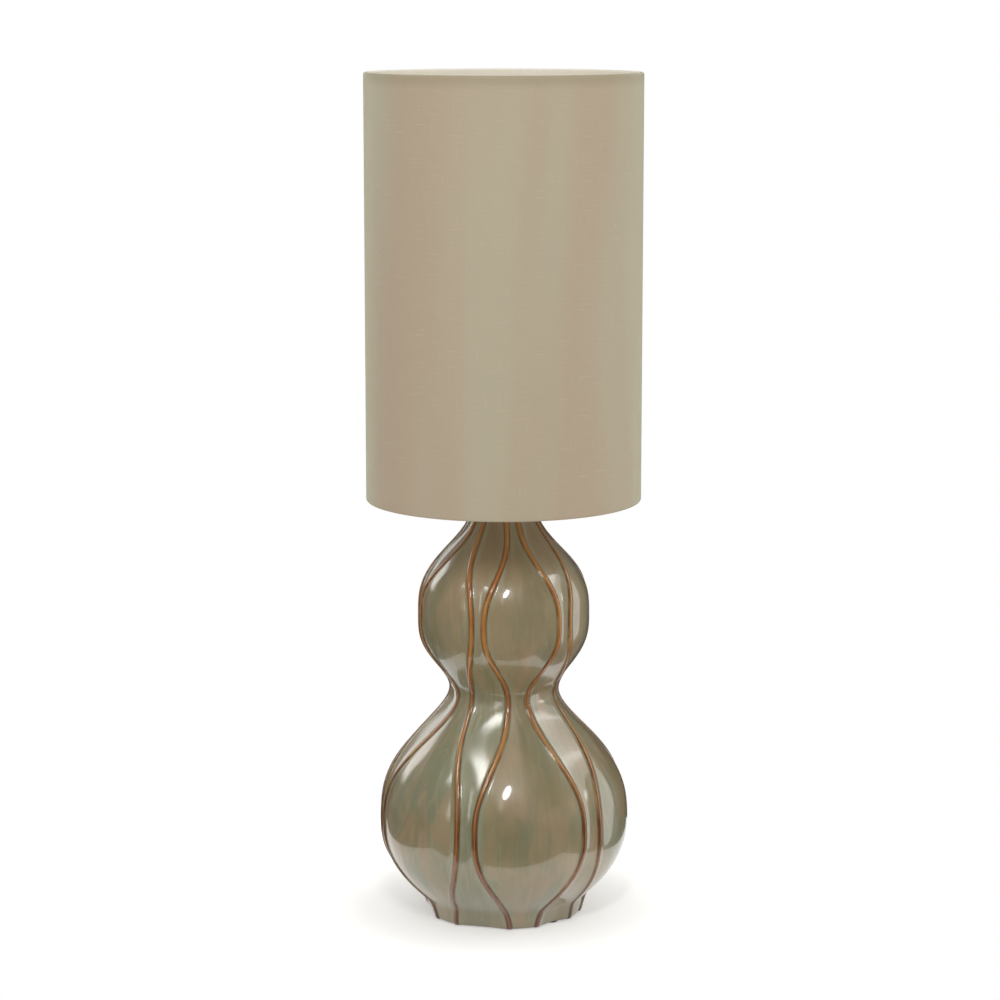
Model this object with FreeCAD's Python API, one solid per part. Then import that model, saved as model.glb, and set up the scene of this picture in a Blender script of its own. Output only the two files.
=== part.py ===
import FreeCAD, Part
import math
import os

# Table lamp with a six-lobed ceramic double-gourd body and a tall drum shade.
# Millimetres, +Z up. The origin is on the table, under the middle of the foot.
# The front, which faces -Y, shows one lobe a little right of the middle. The cord hole is at the back,
# in the middle of the panel between two lobes.

V = FreeCAD.Vector
UP = V(0, 0, 1)
BACK = V(0, 1, 0)

# ---- body: heights and radii of the turned form between its lobes -------------------------------
PAD_T = 0.8             # felt pads lift the ceramic off the table by this
BODY_TOP = 332.5        # top of the neck
ANKLE_Z = 15.0          # the short upright foot ends here
BELLY_Z = 77.7          # widest place of the lower gourd
WAIST_Z = 184.4         # narrowest place between the gourds
CROWN_Z = 244.4         # widest place of the upper gourd
FOOT_R = 63.0
ANKLE_R = 66.1
BELLY_R = 99.2
WAIST_R = 43.1
CROWN_R = 68.0
NECK_R = 25.5
ANKLE_FLARE = 2.25      # how suddenly the foot opens into the belly: 2 is a parabola
BELLY_FALL = (2.31, 0.57)   # how late and how steeply the lower shoulder turns in: (1, 1) is even
WAIST_RISE = (1.77, 0.75)   # the same for the rise from waist to crown, seen from the crown
NECK_FALL = (0.72, 2.85)    # and from crown to neck

# ---- body: lobes, ribs and walls ----------------------------------------------------------------
# Azimuths of the six hand-set lobes, + to the right of the front: at the foot, where they are full,
# and at waist and neck.
LOBES_DEG = [(14.5, 13.4, 15.0), (67.6, 77.0, 79.0), (127.0, 135.7, 133.0), (188.5, 193.6, 190.5),
             (249.5, 251.5, 250.0), (313.0, 311.6, 314.5)]
PINCH_HALF_DEG = 10.2   # half the angle across a lobe at foot, waist and neck
LOBE_HALF_DEG = 26.7    # half the angle across a lobe at the belly and the crown
LOBE_BULGE = 0.02       # how far a full lobe swells, as a share of the local radius
GAP_SINK = 0.05         # how far the panel between two lobes flattens where the lobes are narrow
SWELL_BELLY_Z = 88.0    # the lobes are widest here,
SWELL_WAIST_Z = 181.5   # narrow here,
SWELL_CROWN_Z = 245.5   # wide again here
SWELL_NECK_Z = 316.0    # and narrow here
RIB_HALF_W = 2.1        # half the width of a rib's base
RIB_H = 1.3             # how far a rib stands out
RIB_CREST = 0.4         # share of the rib's width that its flattened crest takes
WALL = 5.0              # ceramic wall, measured behind the flattest panel
FLOOR_T = 6.0           # ceramic floor over the foot recess
RECESS_R = 47.0         # hollow under the foot
RECESS_H = 18.5
NECK_BORE_R = 17.0
NECK_LIP_H = 10.0       # thicker lip inside the neck that carries the cap
ROD_HOLE_R = 6.0        # hole through the floor

# ---- foot pads and cord hole --------------------------------------------------------------------
PAD_COUNT = 4
PAD_R = 5.5
PAD_RING_R = 53.8
PAD_TURN_DEG = 45.0
CORD_Z = 11.0
CORD_TURN_DEG = (LOBES_DEG[2][0] + LOBES_DEG[3][0]) / 2 - 180.0   # from straight back, about the axis
CORD_HOLE_R = 5.2
CORD_FACE_R = 59.5      # flat faced on the back of the foot for the grommet, from the lamp's axis
GROMMET_BORE_R = 3.6
GROMMET_FLANGE_R = 7.5
GROMMET_FLANGE_T = 1.6
GROMMET_LIP_R = 6.1
GROMMET_LIP_T = 1.5
FACE_ROOM = 0.8         # room round the grommet's flange on its flat
SLIP = 0.1              # room round a piece that is pushed into a hole

# ---- rod and the stack under the floor ----------------------------------------------------------
ROD_R = 4.95
ROD_BORE_R = 3.9
THREAD_ROOM = 0.05      # between a threaded hole and the rod
ROD_STANDOUT = 3.0      # rod below the lower nut
RUBBER_R = 20.0
RUBBER_T = 2.0
STEEL_R = 18.0
STEEL_T = 1.5
LOCK_R = 8.5
LOCK_T = 1.0
NUT_AF = 17.0
NUT_T = 4.0
WASHER_ROOM = 0.3

# ---- neck cap -----------------------------------------------------------------------------------
GASKET_T = 1.0
GASKET_R = 24.0
NECK_CAP_R = 25.0
NECK_CAP_T = 3.0
NECK_CAP_ROUND = 1.2
SPIGOT_H = 5.0
SPIGOT_ROOM = 0.5
SPIGOT_WALL = 2.0

# ---- lampholder ---------------------------------------------------------------------------------
HOLDER_GAP = 0.5        # between the neck nut and the holder's boss
BOSS_R = 8.5
BOSS_H = 8.0
CUP_R = 19.0
CUP_H = 22.0
CUP_WALL = 2.0
CUP_ROUND = 4.0
ROD_IN_CUP = 2.0        # rod above the cup's floor
GRUB_R = 1.5
GRUB_L = 3.4
SHELL_GRIP_R = 21.0
SHELL_WALL = 3.2
SHELL_LAP = 3.0         # how far the shell sleeves over the cup's rim
SEAT_Z = 391.0          # top of the flange, where the shade sits
FLANGE_R = 25.5
FLANGE_T = 3.0
SKIRT_R = 19.8
SKIRT_H = 13.0          # skirt above the seat
SKIRT_LIP_T = 3.0
E27_SHELL_R = 13.25     # inside of the metal screw shell
E27_SHELL_T = 0.5
E27_SHELL_FLOOR_R = 9.5
E27_ROOM = 0.35         # between screw shell and bulb cap
BLOCK_R = 15.5
BLOCK_H = 12.0
TERMINAL_W = 6.0
TERMINAL_L = 8.0
TERMINAL_H = 7.0
TERMINAL_X = 8.0
SCREW_HEAD_R = 2.0
SCREW_HEAD_H = 1.6
LEAF_W = 5.0
LEAF_T = 0.5
LEAF_RISE = 2.6
STRIP_W = 4.0
PART_GAP = 0.3          # between neighbours that only meet when the lamp is used

# ---- shade --------------------------------------------------------------------------------------
SHADE_R = 110.0
SHADE_BOTTOM = 339.6
SHADE_TOP = 678.0
FABRIC_T = 0.7
GLUE_T = 0.05           # between the fabric and its lining
WIRE_ROOM = 0.1         # round the wires inside the fold
HEM_H = 9.0             # how far the fabric folds down inside the rings
WIRE_R = 1.5
LINER_T = 0.6
LINER_INSET = 2.5       # from a wire to the lining's edge
ARM_COUNT = 3
ARM_R = 2.0
ARM_BEND_R = 12.0
ARM_FLAT = 13.0         # level stretch of an arm beside the fitter ring
ARM_DROP_END = 7.0      # upright stretch of an arm above the bottom ring
ARM_TURN_DEG = 90.0     # one arm points to the back
FITTER_IN_R = 20.4
FITTER_OUT_R = 27.0
FITTER_T = 1.5
SEAT_WASHER_T = 0.8
CLAMP_WASHER_T = 0.8
WASHER_OUT_R = 25.5
WASHER_IN_R = 20.2
COLLAR_OUT_R = 26.5
COLLAR_H = 6.0
COLLAR_IN_R = 20.15
COLLAR_RIBS = 36
COLLAR_RIB_R = 0.9

# ---- bulb ---------------------------------------------------------------------------------------
BULB_R = 15.0
BULB_LENGTH = 185.0     # tip to crown
BULB_GLASS_T = 0.8
BULB_NECK_R = 12.3
BULB_FLARE_H = 9.0      # from the narrow neck to the full tube
BULB_CAP_H = 23.0
BULB_CAP_T = 0.4
BULB_CAP_FOOT_R = 10.0
BULB_INSULATOR_H = 2.5
BULB_TIP_R = 4.5
BULB_TIP_H = 1.4
STEM_R = 4.5
STEM_H = 30.0
STEM_ROD_R = 1.0
FILAMENT_COUNT = 4
FILAMENT_R = 0.9
FILAMENT_RING_R = 6.0
FILAMENT_L = 110.0
FILAMENT_LEAN = 2.0
SUPPORT_T = 0.8

# ---- places worked out from the sizes above -----------------------------------------------------
RECESS_TOP = PAD_T + RECESS_H
FLOOR_TOP = RECESS_TOP + FLOOR_T
NUT_LOW_Z = RECESS_TOP - RUBBER_T - STEEL_T - LOCK_T - NUT_T
ROD_LOW_Z = NUT_LOW_Z - ROD_STANDOUT
CAP_Z = BODY_TOP + GASKET_T
CAP_TOP = CAP_Z + NECK_CAP_T
NECK_NUT_Z = CAP_TOP + LOCK_T
BOSS_Z = NECK_NUT_Z + NUT_T + HOLDER_GAP
CUP_Z = BOSS_Z + BOSS_H
CUP_TOP = CUP_Z + CUP_H
CUP_FLOOR = CUP_Z + CUP_WALL
ROD_TOP = CUP_FLOOR + ROD_IN_CUP
BLOCK_Z = ROD_TOP + PART_GAP
BLOCK_TOP = BLOCK_Z + BLOCK_H
SKIRT_TOP = SEAT_Z + SKIRT_H
FITTER_Z = SEAT_Z + SEAT_WASHER_T
CLAMP_Z = FITTER_Z + FITTER_T
COLLAR_Z = CLAMP_Z + CLAMP_WASHER_T
LEAF_TOP = BLOCK_TOP + LEAF_T + LEAF_RISE
TIP_Z = LEAF_TOP + PART_GAP
BULB_CAP_Z = TIP_Z + BULB_TIP_H + BULB_INSULATOR_H
BULB_CAP_TOP = BULB_CAP_Z + BULB_CAP_H
FLARE_Z = SKIRT_TOP + PART_GAP
BULB_TOP = TIP_Z + BULB_LENGTH
BULB_CAP_R = E27_SHELL_R - E27_ROOM
SHELL_TOP = SKIRT_TOP - SKIRT_LIP_T
RING_R = SHADE_R - FABRIC_T - WIRE_ROOM - WIRE_R
RING_EDGE = FABRIC_T + WIRE_ROOM + WIRE_R
HEM_IN_R = RING_R - WIRE_R - WIRE_ROOM - FABRIC_T
LINER_OUT_R = SHADE_R - FABRIC_T - GLUE_T


# ---- small builders -----------------------------------------------------------------------------
def disc(radius, low, high):
    """Solid cylinder on the lamp's axis between two heights."""
    return Part.makeCylinder(radius, high - low, V(0, 0, low))


def ring(inner, outer, low, high):
    """Flat ring on the lamp's axis."""
    return disc(outer, low, high).cut(disc(inner, low, high))


def turned(points):
    """Solid turned round the lamp's axis from a closed (radius, height) outline."""
    corners = [V(r, 0, z) for r, z in points]
    outline = Part.makePolygon(corners + corners[:1])
    return Part.Face(outline).revolve(V(0, 0, 0), UP, 360)


def around(count, start_deg=0.0):
    """Evenly spaced turns in degrees."""
    return [start_deg + 360.0 * i / count for i in range(count)]


def turned_by(shape, degrees):
    """Copy of a shape turned about the lamp's axis."""
    copy = shape.copy()
    copy.rotate(V(0, 0, 0), UP, degrees)
    return copy


def hex_nut(low):
    """Thin hexagon nut on the rod, corners chamfered on both faces."""
    corner_r = NUT_AF / 2 / math.cos(math.pi / 6)
    corners = [V(corner_r * math.cos(math.radians(a)), corner_r * math.sin(math.radians(a)), low)
               for a in around(6)]
    prism = Part.Face(Part.makePolygon(corners + corners[:1])).extrude(UP * NUT_T)
    chamfer = (corner_r - NUT_AF / 2) / 2
    envelope = turned([(0, low), (corner_r - chamfer, low), (corner_r, low + chamfer),
                       (corner_r, low + NUT_T - chamfer), (corner_r - chamfer, low + NUT_T),
                       (0, low + NUT_T)])
    return prism.common(envelope).cut(disc(ROD_R + THREAD_ROOM, low, low + NUT_T))


def spring_washer(low):
    """Split lock washer: a ring with one narrow slanting cut."""
    slot = Part.makeBox(LOCK_R, LOCK_T, 3 * LOCK_T, V(ROD_R, -LOCK_T / 2, low - LOCK_T))
    slot.rotate(V(0, 0, low), V(1, 0, 0), 25)
    return ring(ROD_R + WASHER_ROOM, LOCK_R, low, low + LOCK_T).cut(slot)


# ---- ceramic body -------------------------------------------------------------------------------
def eased(share, delay=1.0, steepness=1.0):
    """Smooth step from 0 to 1; a delay over 1 starts it later, a steepness over 1 holds it low."""
    t = min(max(share, 0.0), 1.0) ** delay
    return (t * t * (3 - 2 * t)) ** steepness


def body_radius(z):
    """Radius of the turned form at height z, before lobes and ribs."""
    if z <= ANKLE_Z:
        return FOOT_R + (ANKLE_R - FOOT_R) * z / ANKLE_Z
    if z <= BELLY_Z:
        below = (BELLY_Z - z) / (BELLY_Z - ANKLE_Z)
        return BELLY_R - (BELLY_R - ANKLE_R) * below ** ANKLE_FLARE
    if z <= WAIST_Z:
        return BELLY_R - (BELLY_R - WAIST_R) * eased((z - BELLY_Z) / (WAIST_Z - BELLY_Z), *BELLY_FALL)
    if z <= CROWN_Z:
        return CROWN_R - (CROWN_R - WAIST_R) * eased((CROWN_Z - z) / (CROWN_Z - WAIST_Z), *WAIST_RISE)
    return CROWN_R - (CROWN_R - NECK_R) * eased((z - CROWN_Z) / (BODY_TOP - CROWN_Z), *NECK_FALL)


def lobe_swell(z):
    """How full the lobes are at height z: 1 at belly and crown, 0 at foot, waist and neck."""
    if z <= SWELL_BELLY_Z:
        return 1 - eased((SWELL_BELLY_Z - z) / SWELL_BELLY_Z, 1.5)
    if z <= SWELL_WAIST_Z:
        return 1 - eased((z - SWELL_BELLY_Z) / (SWELL_WAIST_Z - SWELL_BELLY_Z), 1.33)
    if z <= SWELL_CROWN_Z:
        return 1 - eased((SWELL_CROWN_Z - z) / (SWELL_CROWN_Z - SWELL_WAIST_Z), 1.3)
    return 1 - eased((z - SWELL_CROWN_Z) / (SWELL_NECK_Z - SWELL_CROWN_Z), 1.35)


def panel_poles(start, end, radius, rise):
    """Poles (azimuth, radius) of a cubic that follows a circle and rises by rise at its middle."""
    step = math.atan(4 / 3 * math.tan((end - start) / 4))
    crown = radius / math.cos(step) + rise * 4 / 3
    return [(start, radius), (start + step, crown), (end - step, crown), (end, radius)]


def section_strips(z):
    """Poles of every strip round the body at height z: three facets a rib, then one panel."""
    radius = body_radius(z)
    full = lobe_swell(z)
    half_lobe = PINCH_HALF_DEG + (LOBE_HALF_DEG - PINCH_HALF_DEG) * full
    ribs = []
    for foot_deg, full_deg, waist_deg in LOBES_DEG:
        narrow_deg = foot_deg if z <= SWELL_BELLY_Z else waist_deg
        turn = narrow_deg + (full_deg - narrow_deg) * full
        ribs += [math.radians(turn - half_lobe), math.radians(turn + half_lobe)]
    ribs.append(ribs[0] + 2 * math.pi)
    foot = RIB_HALF_W / radius
    crest = foot * RIB_CREST
    bulge = LOBE_BULGE * radius * full
    sink = GAP_SINK * radius * (1 - full) ** 2
    strips = []
    for i in range(2 * len(LOBES_DEG)):
        middle = ribs[i]
        rib = [(middle - foot, radius), (middle - crest, radius + RIB_H),
               (middle + crest, radius + RIB_H), (middle + foot, radius)]
        strips += [rib[0:2], rib[1:3], rib[2:4]]
        rise = bulge if i % 2 == 0 else -sink
        strips.append(panel_poles(middle + foot, ribs[i + 1] - foot, radius, rise))
    return strips


def body_heights():
    """Heights of the sections that the body's skin passes through, closer where it curves more."""
    spans = [(PAD_T, ANKLE_Z, 2), (ANKLE_Z, BELLY_Z, 6), (BELLY_Z, WAIST_Z, 9), (WAIST_Z, CROWN_Z, 6),
             (CROWN_Z, BODY_TOP, 8)]
    heights = []
    for low, high, steps in spans:
        heights += [low + (high - low) * i / steps for i in range(steps)]
    return heights + [BODY_TOP]


def point_on(pole, z):
    """Point at an (azimuth, radius) pole; azimuth 0 faces the front."""
    azimuth, radius = pole
    return V(radius * math.sin(azimuth), -radius * math.cos(azimuth), z)


def skin_strip(columns, parameters):
    """Surface of one strip: each pole column is a smooth curve up the body."""
    poles = []
    for column in columns:
        curve = Part.BSplineCurve()
        curve.interpolate(Points=column, Parameters=parameters)
        poles.append(curve.getPoles())
    count = len(poles)
    surface = Part.BSplineSurface()
    surface.buildFromPolesMultsKnots(poles, [count, count], curve.getMultiplicities(), [0.0, 1.0],
                                     curve.getKnots(), False, False, count - 1, 3)
    return surface.toShape()


def end_face(strips, z):
    """Flat face inside one section."""
    edges = []
    for strip in strips:
        curve = Part.BezierCurve()
        curve.setPoles([point_on(pole, z) for pole in strip])
        edges.append(curve.toShape())
    return Part.Face(Part.Wire(edges))


def lobed_solid():
    """The body's outside as one closed solid, before it is hollowed."""
    heights = body_heights()
    sections = [section_strips(z) for z in heights]
    parameters = [0.0]
    for low, high in zip(heights, heights[1:]):
        parameters.append(parameters[-1] + math.hypot(high - low, body_radius(high) - body_radius(low)))
    faces = [end_face(sections[0], heights[0]), end_face(sections[-1], heights[-1])]
    for i, strip in enumerate(sections[0]):
        columns = [[point_on(section[i][k], z) for section, z in zip(sections, heights)]
                   for k in range(len(strip))]
        faces.append(skin_strip(columns, parameters))
    shell = Part.makeShell(faces)
    shell.sewShape()
    solid = Part.makeSolid(shell)
    if solid.Volume < 0:
        solid.reverse()
    return solid


def cavity_radius(z):
    """Inside radius that leaves the wall behind the flattest panel."""
    return body_radius(z) * (1 - GAP_SINK) - WALL


def body_cavity():
    """Hollow inside the body, turned from a smooth outline, with the neck's bore above it."""
    lip_z = BODY_TOP - NECK_LIP_H
    between = [z for z in body_heights() if FLOOR_TOP + WALL < z < lip_z - WALL]
    points = [V(cavity_radius(z), 0, z) for z in [FLOOR_TOP] + between + [lip_z]]
    wall = Part.BSplineCurve()
    wall.interpolate(points)
    above = BODY_TOP + NECK_BORE_R
    rest = Part.makePolygon([points[-1], V(NECK_BORE_R, 0, lip_z), V(NECK_BORE_R, 0, above),
                             V(0, 0, above), V(0, 0, FLOOR_TOP), points[0]])
    outline = Part.Wire([wall.toShape()] + rest.Edges)
    return Part.Face(outline).revolve(V(0, 0, 0), UP, 360)


def gourd_body():
    """Hollow six-lobed body with the foot recess, the rod hole and the faced cord hole."""
    body = lobed_solid().cut(disc(RECESS_R, PAD_T, RECESS_TOP))
    body = body.cut(body_cavity())
    body = body.cut(disc(ROD_HOLE_R, RECESS_TOP, FLOOR_TOP))
    hole = Part.makeCylinder(CORD_HOLE_R, FOOT_R, V(0, RECESS_R / 2, CORD_Z), BACK)
    face = Part.makeCylinder(GROMMET_FLANGE_R + FACE_ROOM, FOOT_R, V(0, CORD_FACE_R, CORD_Z), BACK)
    return body.cut([turned_by(hole, CORD_TURN_DEG), turned_by(face, CORD_TURN_DEG)])


def foot_pads():
    """Felt pads under the foot ring, one solid each."""
    pad = Part.makeCylinder(PAD_R, PAD_T, V(PAD_RING_R, 0, 0))
    return Part.makeCompound([turned_by(pad, a) for a in around(PAD_COUNT, PAD_TURN_DEG)])


def cord_grommet():
    """Bush in the cord hole: outer flange, sleeve and an inner lip that snaps behind the wall."""
    sleeve_low = math.sqrt(RECESS_R ** 2 - GROMMET_LIP_R ** 2) - GROMMET_LIP_T
    sleeve = Part.makeCylinder(CORD_HOLE_R - SLIP, CORD_FACE_R - sleeve_low, V(0, sleeve_low, CORD_Z), BACK)
    flange = Part.makeCylinder(GROMMET_FLANGE_R, GROMMET_FLANGE_T, V(0, CORD_FACE_R, CORD_Z), BACK)
    outer_edge = [e for e in flange.Edges if abs(e.CenterOfMass.y - CORD_FACE_R - GROMMET_FLANGE_T) < 0.01]
    flange = flange.makeFillet(GROMMET_FLANGE_T / 2, outer_edge)
    lip = Part.makeCylinder(GROMMET_LIP_R, GROMMET_LIP_T - SLIP, V(0, sleeve_low, CORD_Z), BACK)
    bore = Part.makeCylinder(GROMMET_BORE_R, 2 * RECESS_R, V(0, 0, CORD_Z), BACK)
    return turned_by(sleeve.fuse([flange, lip]).removeSplitter().cut(bore), CORD_TURN_DEG)


# ---- rod, washers and neck cap ------------------------------------------------------------------
def threaded_rod():
    """Hollow rod with chamfered ends."""
    chamfer = ROD_R - ROD_BORE_R - WASHER_ROOM
    return turned([(ROD_BORE_R, ROD_LOW_Z), (ROD_R - chamfer, ROD_LOW_Z), (ROD_R, ROD_LOW_Z + chamfer),
                   (ROD_R, ROD_TOP - chamfer), (ROD_R - chamfer, ROD_TOP), (ROD_BORE_R, ROD_TOP)])


def neck_cap():
    """Turned cap with a rounded rim and a hollow spigot that centres it in the neck."""
    plate = disc(NECK_CAP_R, CAP_Z, CAP_TOP)
    rim = [e for e in plate.Edges if e.Closed and abs(e.CenterOfMass.z - CAP_TOP) < 0.01]
    plate = plate.makeFillet(NECK_CAP_ROUND, rim)
    spigot_r = NECK_BORE_R - SPIGOT_ROOM
    spigot = ring(spigot_r - SPIGOT_WALL, spigot_r, CAP_Z - SPIGOT_H, CAP_Z)
    return plate.fuse(spigot).removeSplitter().cut(disc(ROD_R + THREAD_ROOM, CAP_Z, CAP_TOP))


# ---- lampholder ---------------------------------------------------------------------------------
def holder_cap():
    """Lower cup of the holder with its threaded boss and the grub screw's hole."""
    outside = disc(CUP_R, CUP_Z, CUP_TOP)
    low_edge = [e for e in outside.Edges if e.Closed and abs(e.CenterOfMass.z - CUP_Z) < 0.01]
    cup = outside.makeFillet(CUP_ROUND, low_edge).cut(disc(CUP_R - CUP_WALL, CUP_FLOOR, CUP_TOP))
    cup = cup.fuse(disc(BOSS_R, BOSS_Z, CUP_FLOOR)).removeSplitter()
    cup = cup.cut(disc(ROD_R + THREAD_ROOM, BOSS_Z, CUP_FLOOR))
    hole = Part.makeCylinder(GRUB_R + THREAD_ROOM, BOSS_R, V(0, ROD_R, BOSS_Z + BOSS_H / 2), BACK)
    return cup.cut(hole)


def holder_grub_screw():
    """Socketless grub screw with a slot, pressed on the rod from the back of the boss."""
    z = BOSS_Z + BOSS_H / 2
    start = ROD_R + THREAD_ROOM
    screw = Part.makeCylinder(GRUB_R, GRUB_L, V(0, start, z), BACK)
    slot_w = GRUB_R / 2
    slot = Part.makeBox(2 * GRUB_R, slot_w, slot_w, V(-GRUB_R, start + GRUB_L - slot_w, z - slot_w / 2))
    return screw.cut(slot)


def terminal_pockets(grow):
    """The two rectangular pockets of the terminals, grown by a clearance on every side."""
    boxes = []
    for side in (-1, 1):
        corner = V(side * TERMINAL_X - TERMINAL_W / 2 - grow, -TERMINAL_L / 2 - grow, BLOCK_Z - grow)
        boxes.append(Part.makeBox(TERMINAL_W + 2 * grow, TERMINAL_L + 2 * grow, TERMINAL_H + 2 * grow,
                                  corner))
    return boxes


def side_strip_box(grow):
    """Upright stretch of the side contact, grown by a clearance sideways."""
    return Part.makeBox(LEAF_T + 2 * grow, STRIP_W + 2 * grow, BLOCK_H - TERMINAL_H,
                        V(TERMINAL_X - LEAF_T / 2 - grow, -STRIP_W / 2 - grow, BLOCK_Z + TERMINAL_H))


def centre_post_box(grow):
    """Upright stretch of the centre contact, grown by a clearance sideways."""
    return Part.makeBox(LEAF_T + 2 * grow, LEAF_W + 2 * grow, BLOCK_H - TERMINAL_H,
                        V(-TERMINAL_X - LEAF_T / 2 - grow, -LEAF_W / 2 - grow, BLOCK_Z + TERMINAL_H))


def terminal_block():
    """Insulating block: two terminal pockets, slots for the contacts and screw ways at the front."""
    block = disc(BLOCK_R, BLOCK_Z, BLOCK_TOP)
    block = block.cut(terminal_pockets(SLIP))
    block = block.cut([side_strip_box(SLIP), centre_post_box(SLIP)])
    for side in (-1, 1):
        way = Part.makeCylinder(SCREW_HEAD_R + PART_GAP, BLOCK_R,
                                V(side * TERMINAL_X, -BLOCK_R, BLOCK_Z + TERMINAL_H / 2), BACK)
        block = block.cut(way.cut(Part.makeBox(4 * BLOCK_R, BLOCK_R, 4 * BLOCK_R,
                                               V(-2 * BLOCK_R, 0, 0))))
    return block


def wire_terminals():
    """Two brass clamping blocks with a wire hole from below, one solid each."""
    blocks = []
    for side, box in zip((-1, 1), terminal_pockets(0)):
        wire = Part.makeCylinder(TERMINAL_W / 4, TERMINAL_H / 2, V(side * TERMINAL_X, 0, BLOCK_Z))
        screw_way = Part.makeCylinder(SCREW_HEAD_R / 2, TERMINAL_L / 2,
                                      V(side * TERMINAL_X, -TERMINAL_L / 2, BLOCK_Z + TERMINAL_H / 2), BACK)
        blocks.append(box.cut([wire, screw_way]))
    return Part.makeCompound(blocks)


def terminal_screws():
    """Cheese-head screws of the two terminals, one solid each."""
    screws = []
    z = BLOCK_Z + TERMINAL_H / 2
    for side in (-1, 1):
        x = side * TERMINAL_X
        face_y = -TERMINAL_L / 2
        head = Part.makeCylinder(SCREW_HEAD_R, SCREW_HEAD_H, V(x, face_y - SCREW_HEAD_H, z), BACK)
        slot = Part.makeBox(2 * SCREW_HEAD_R, SCREW_HEAD_H / 2, SCREW_HEAD_H / 3,
                            V(x - SCREW_HEAD_R, face_y - SCREW_HEAD_H, z - SCREW_HEAD_H / 6))
        shank = Part.makeCylinder(SCREW_HEAD_R / 2 - THREAD_ROOM, TERMINAL_L / 4, V(x, face_y, z), BACK)
        screws.append(head.cut(slot).fuse(shank))
    return Part.makeCompound(screws)


def centre_contact():
    """Sprung leaf: a post from the terminal, a flat on the block and a tongue that rises to the bulb."""
    post = centre_post_box(0)
    flat_end = -TERMINAL_X / 2
    start = -TERMINAL_X - LEAF_T / 2
    corners = [(start, BLOCK_TOP), (flat_end, BLOCK_TOP), (0, LEAF_TOP - LEAF_T),
               (BULB_TIP_R, LEAF_TOP - LEAF_T), (BULB_TIP_R, LEAF_TOP), (0, LEAF_TOP),
               (flat_end, BLOCK_TOP + LEAF_T), (start, BLOCK_TOP + LEAF_T)]
    points = [V(x, -LEAF_W / 2, z) for x, z in corners]
    leaf = Part.Face(Part.makePolygon(points + points[:1])).extrude(BACK * LEAF_W)
    return post.fuse(leaf).removeSplitter()


def side_contact():
    """Strip from the other terminal to the floor of the screw shell."""
    foot = Part.makeBox(E27_SHELL_R - TERMINAL_X, STRIP_W, LEAF_T,
                        V(TERMINAL_X - LEAF_T / 2, -STRIP_W / 2, BLOCK_TOP))
    return side_strip_box(0).fuse(foot).removeSplitter()


def screw_shell():
    """Metal screw shell standing on the side contact, with a floor ring and an open top."""
    low = BLOCK_TOP + LEAF_T
    outer = E27_SHELL_R + E27_SHELL_T
    return turned([(E27_SHELL_FLOOR_R, low), (outer, low), (outer, SHELL_TOP - PART_GAP),
                   (E27_SHELL_R, SHELL_TOP - PART_GAP), (E27_SHELL_R, low + E27_SHELL_T),
                   (E27_SHELL_FLOOR_R, low + E27_SHELL_T)])


def holder_shell():
    """Outer shell: grip that sleeves over the cup, flange for the shade, skirt and inner lip."""
    lap_z = CUP_TOP - SHELL_LAP
    lip_r = E27_SHELL_R + E27_SHELL_T
    bore_r = SKIRT_R - SHELL_WALL
    flange_z = SEAT_Z - FLANGE_T
    return turned([(CUP_R + SLIP, lap_z), (SHELL_GRIP_R, lap_z), (SHELL_GRIP_R, flange_z),
                   (FLANGE_R, flange_z), (FLANGE_R, SEAT_Z), (SKIRT_R, SEAT_Z), (SKIRT_R, SKIRT_TOP),
                   (lip_r, SKIRT_TOP), (lip_r, SHELL_TOP), (bore_r, SHELL_TOP),
                   (bore_r, CUP_TOP), (CUP_R + SLIP, CUP_TOP)])


# ---- shade --------------------------------------------------------------------------------------
def shade_fabric():
    """Drum of fabric, folded over both wire rings and down inside them, top and bottom alike."""
    low = SHADE_BOTTOM
    high = SHADE_TOP
    inner = SHADE_R - FABRIC_T
    return turned([(SHADE_R, low), (SHADE_R, high), (HEM_IN_R, high), (HEM_IN_R, high - HEM_H),
                   (HEM_IN_R + FABRIC_T, high - HEM_H), (HEM_IN_R + FABRIC_T, high - FABRIC_T),
                   (inner, high - FABRIC_T), (inner, low + FABRIC_T),
                   (HEM_IN_R + FABRIC_T, low + FABRIC_T), (HEM_IN_R + FABRIC_T, low + HEM_H),
                   (HEM_IN_R, low + HEM_H), (HEM_IN_R, low)])


def shade_liner():
    """Stiff lining behind the fabric, between the two folds' wires."""
    low = SHADE_BOTTOM + RING_EDGE + WIRE_R + LINER_INSET
    high = SHADE_TOP - RING_EDGE - WIRE_R - LINER_INSET
    return ring(LINER_OUT_R - LINER_T, LINER_OUT_R, low, high)


def wire_ring(z):
    """Round wire ring of the shade's frame."""
    return Part.makeTorus(RING_R, WIRE_R, V(0, 0, z))


def bent_path(corners, bend_r):
    """Straight runs joined by tangent arcs of one radius, through corners in one plane."""
    edges = []
    start = corners[0]
    for before, corner, after in zip(corners, corners[1:], corners[2:]):
        back = (before - corner).normalize()
        ahead = (after - corner).normalize()
        half = back.getAngle(ahead) / 2
        run_in = corner + back * (bend_r / math.tan(half))
        run_out = corner + ahead * (bend_r / math.tan(half))
        centre = corner + (back + ahead).normalize() * (bend_r / math.sin(half))
        middle = centre + (corner - centre).normalize() * bend_r
        edges.append(Part.makeLine(start, run_in))
        edges.append(Part.Arc(run_in, middle, run_out).toShape())
        start = run_out
    edges.append(Part.makeLine(start, corners[-1]))
    return Part.Wire(edges)


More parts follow.
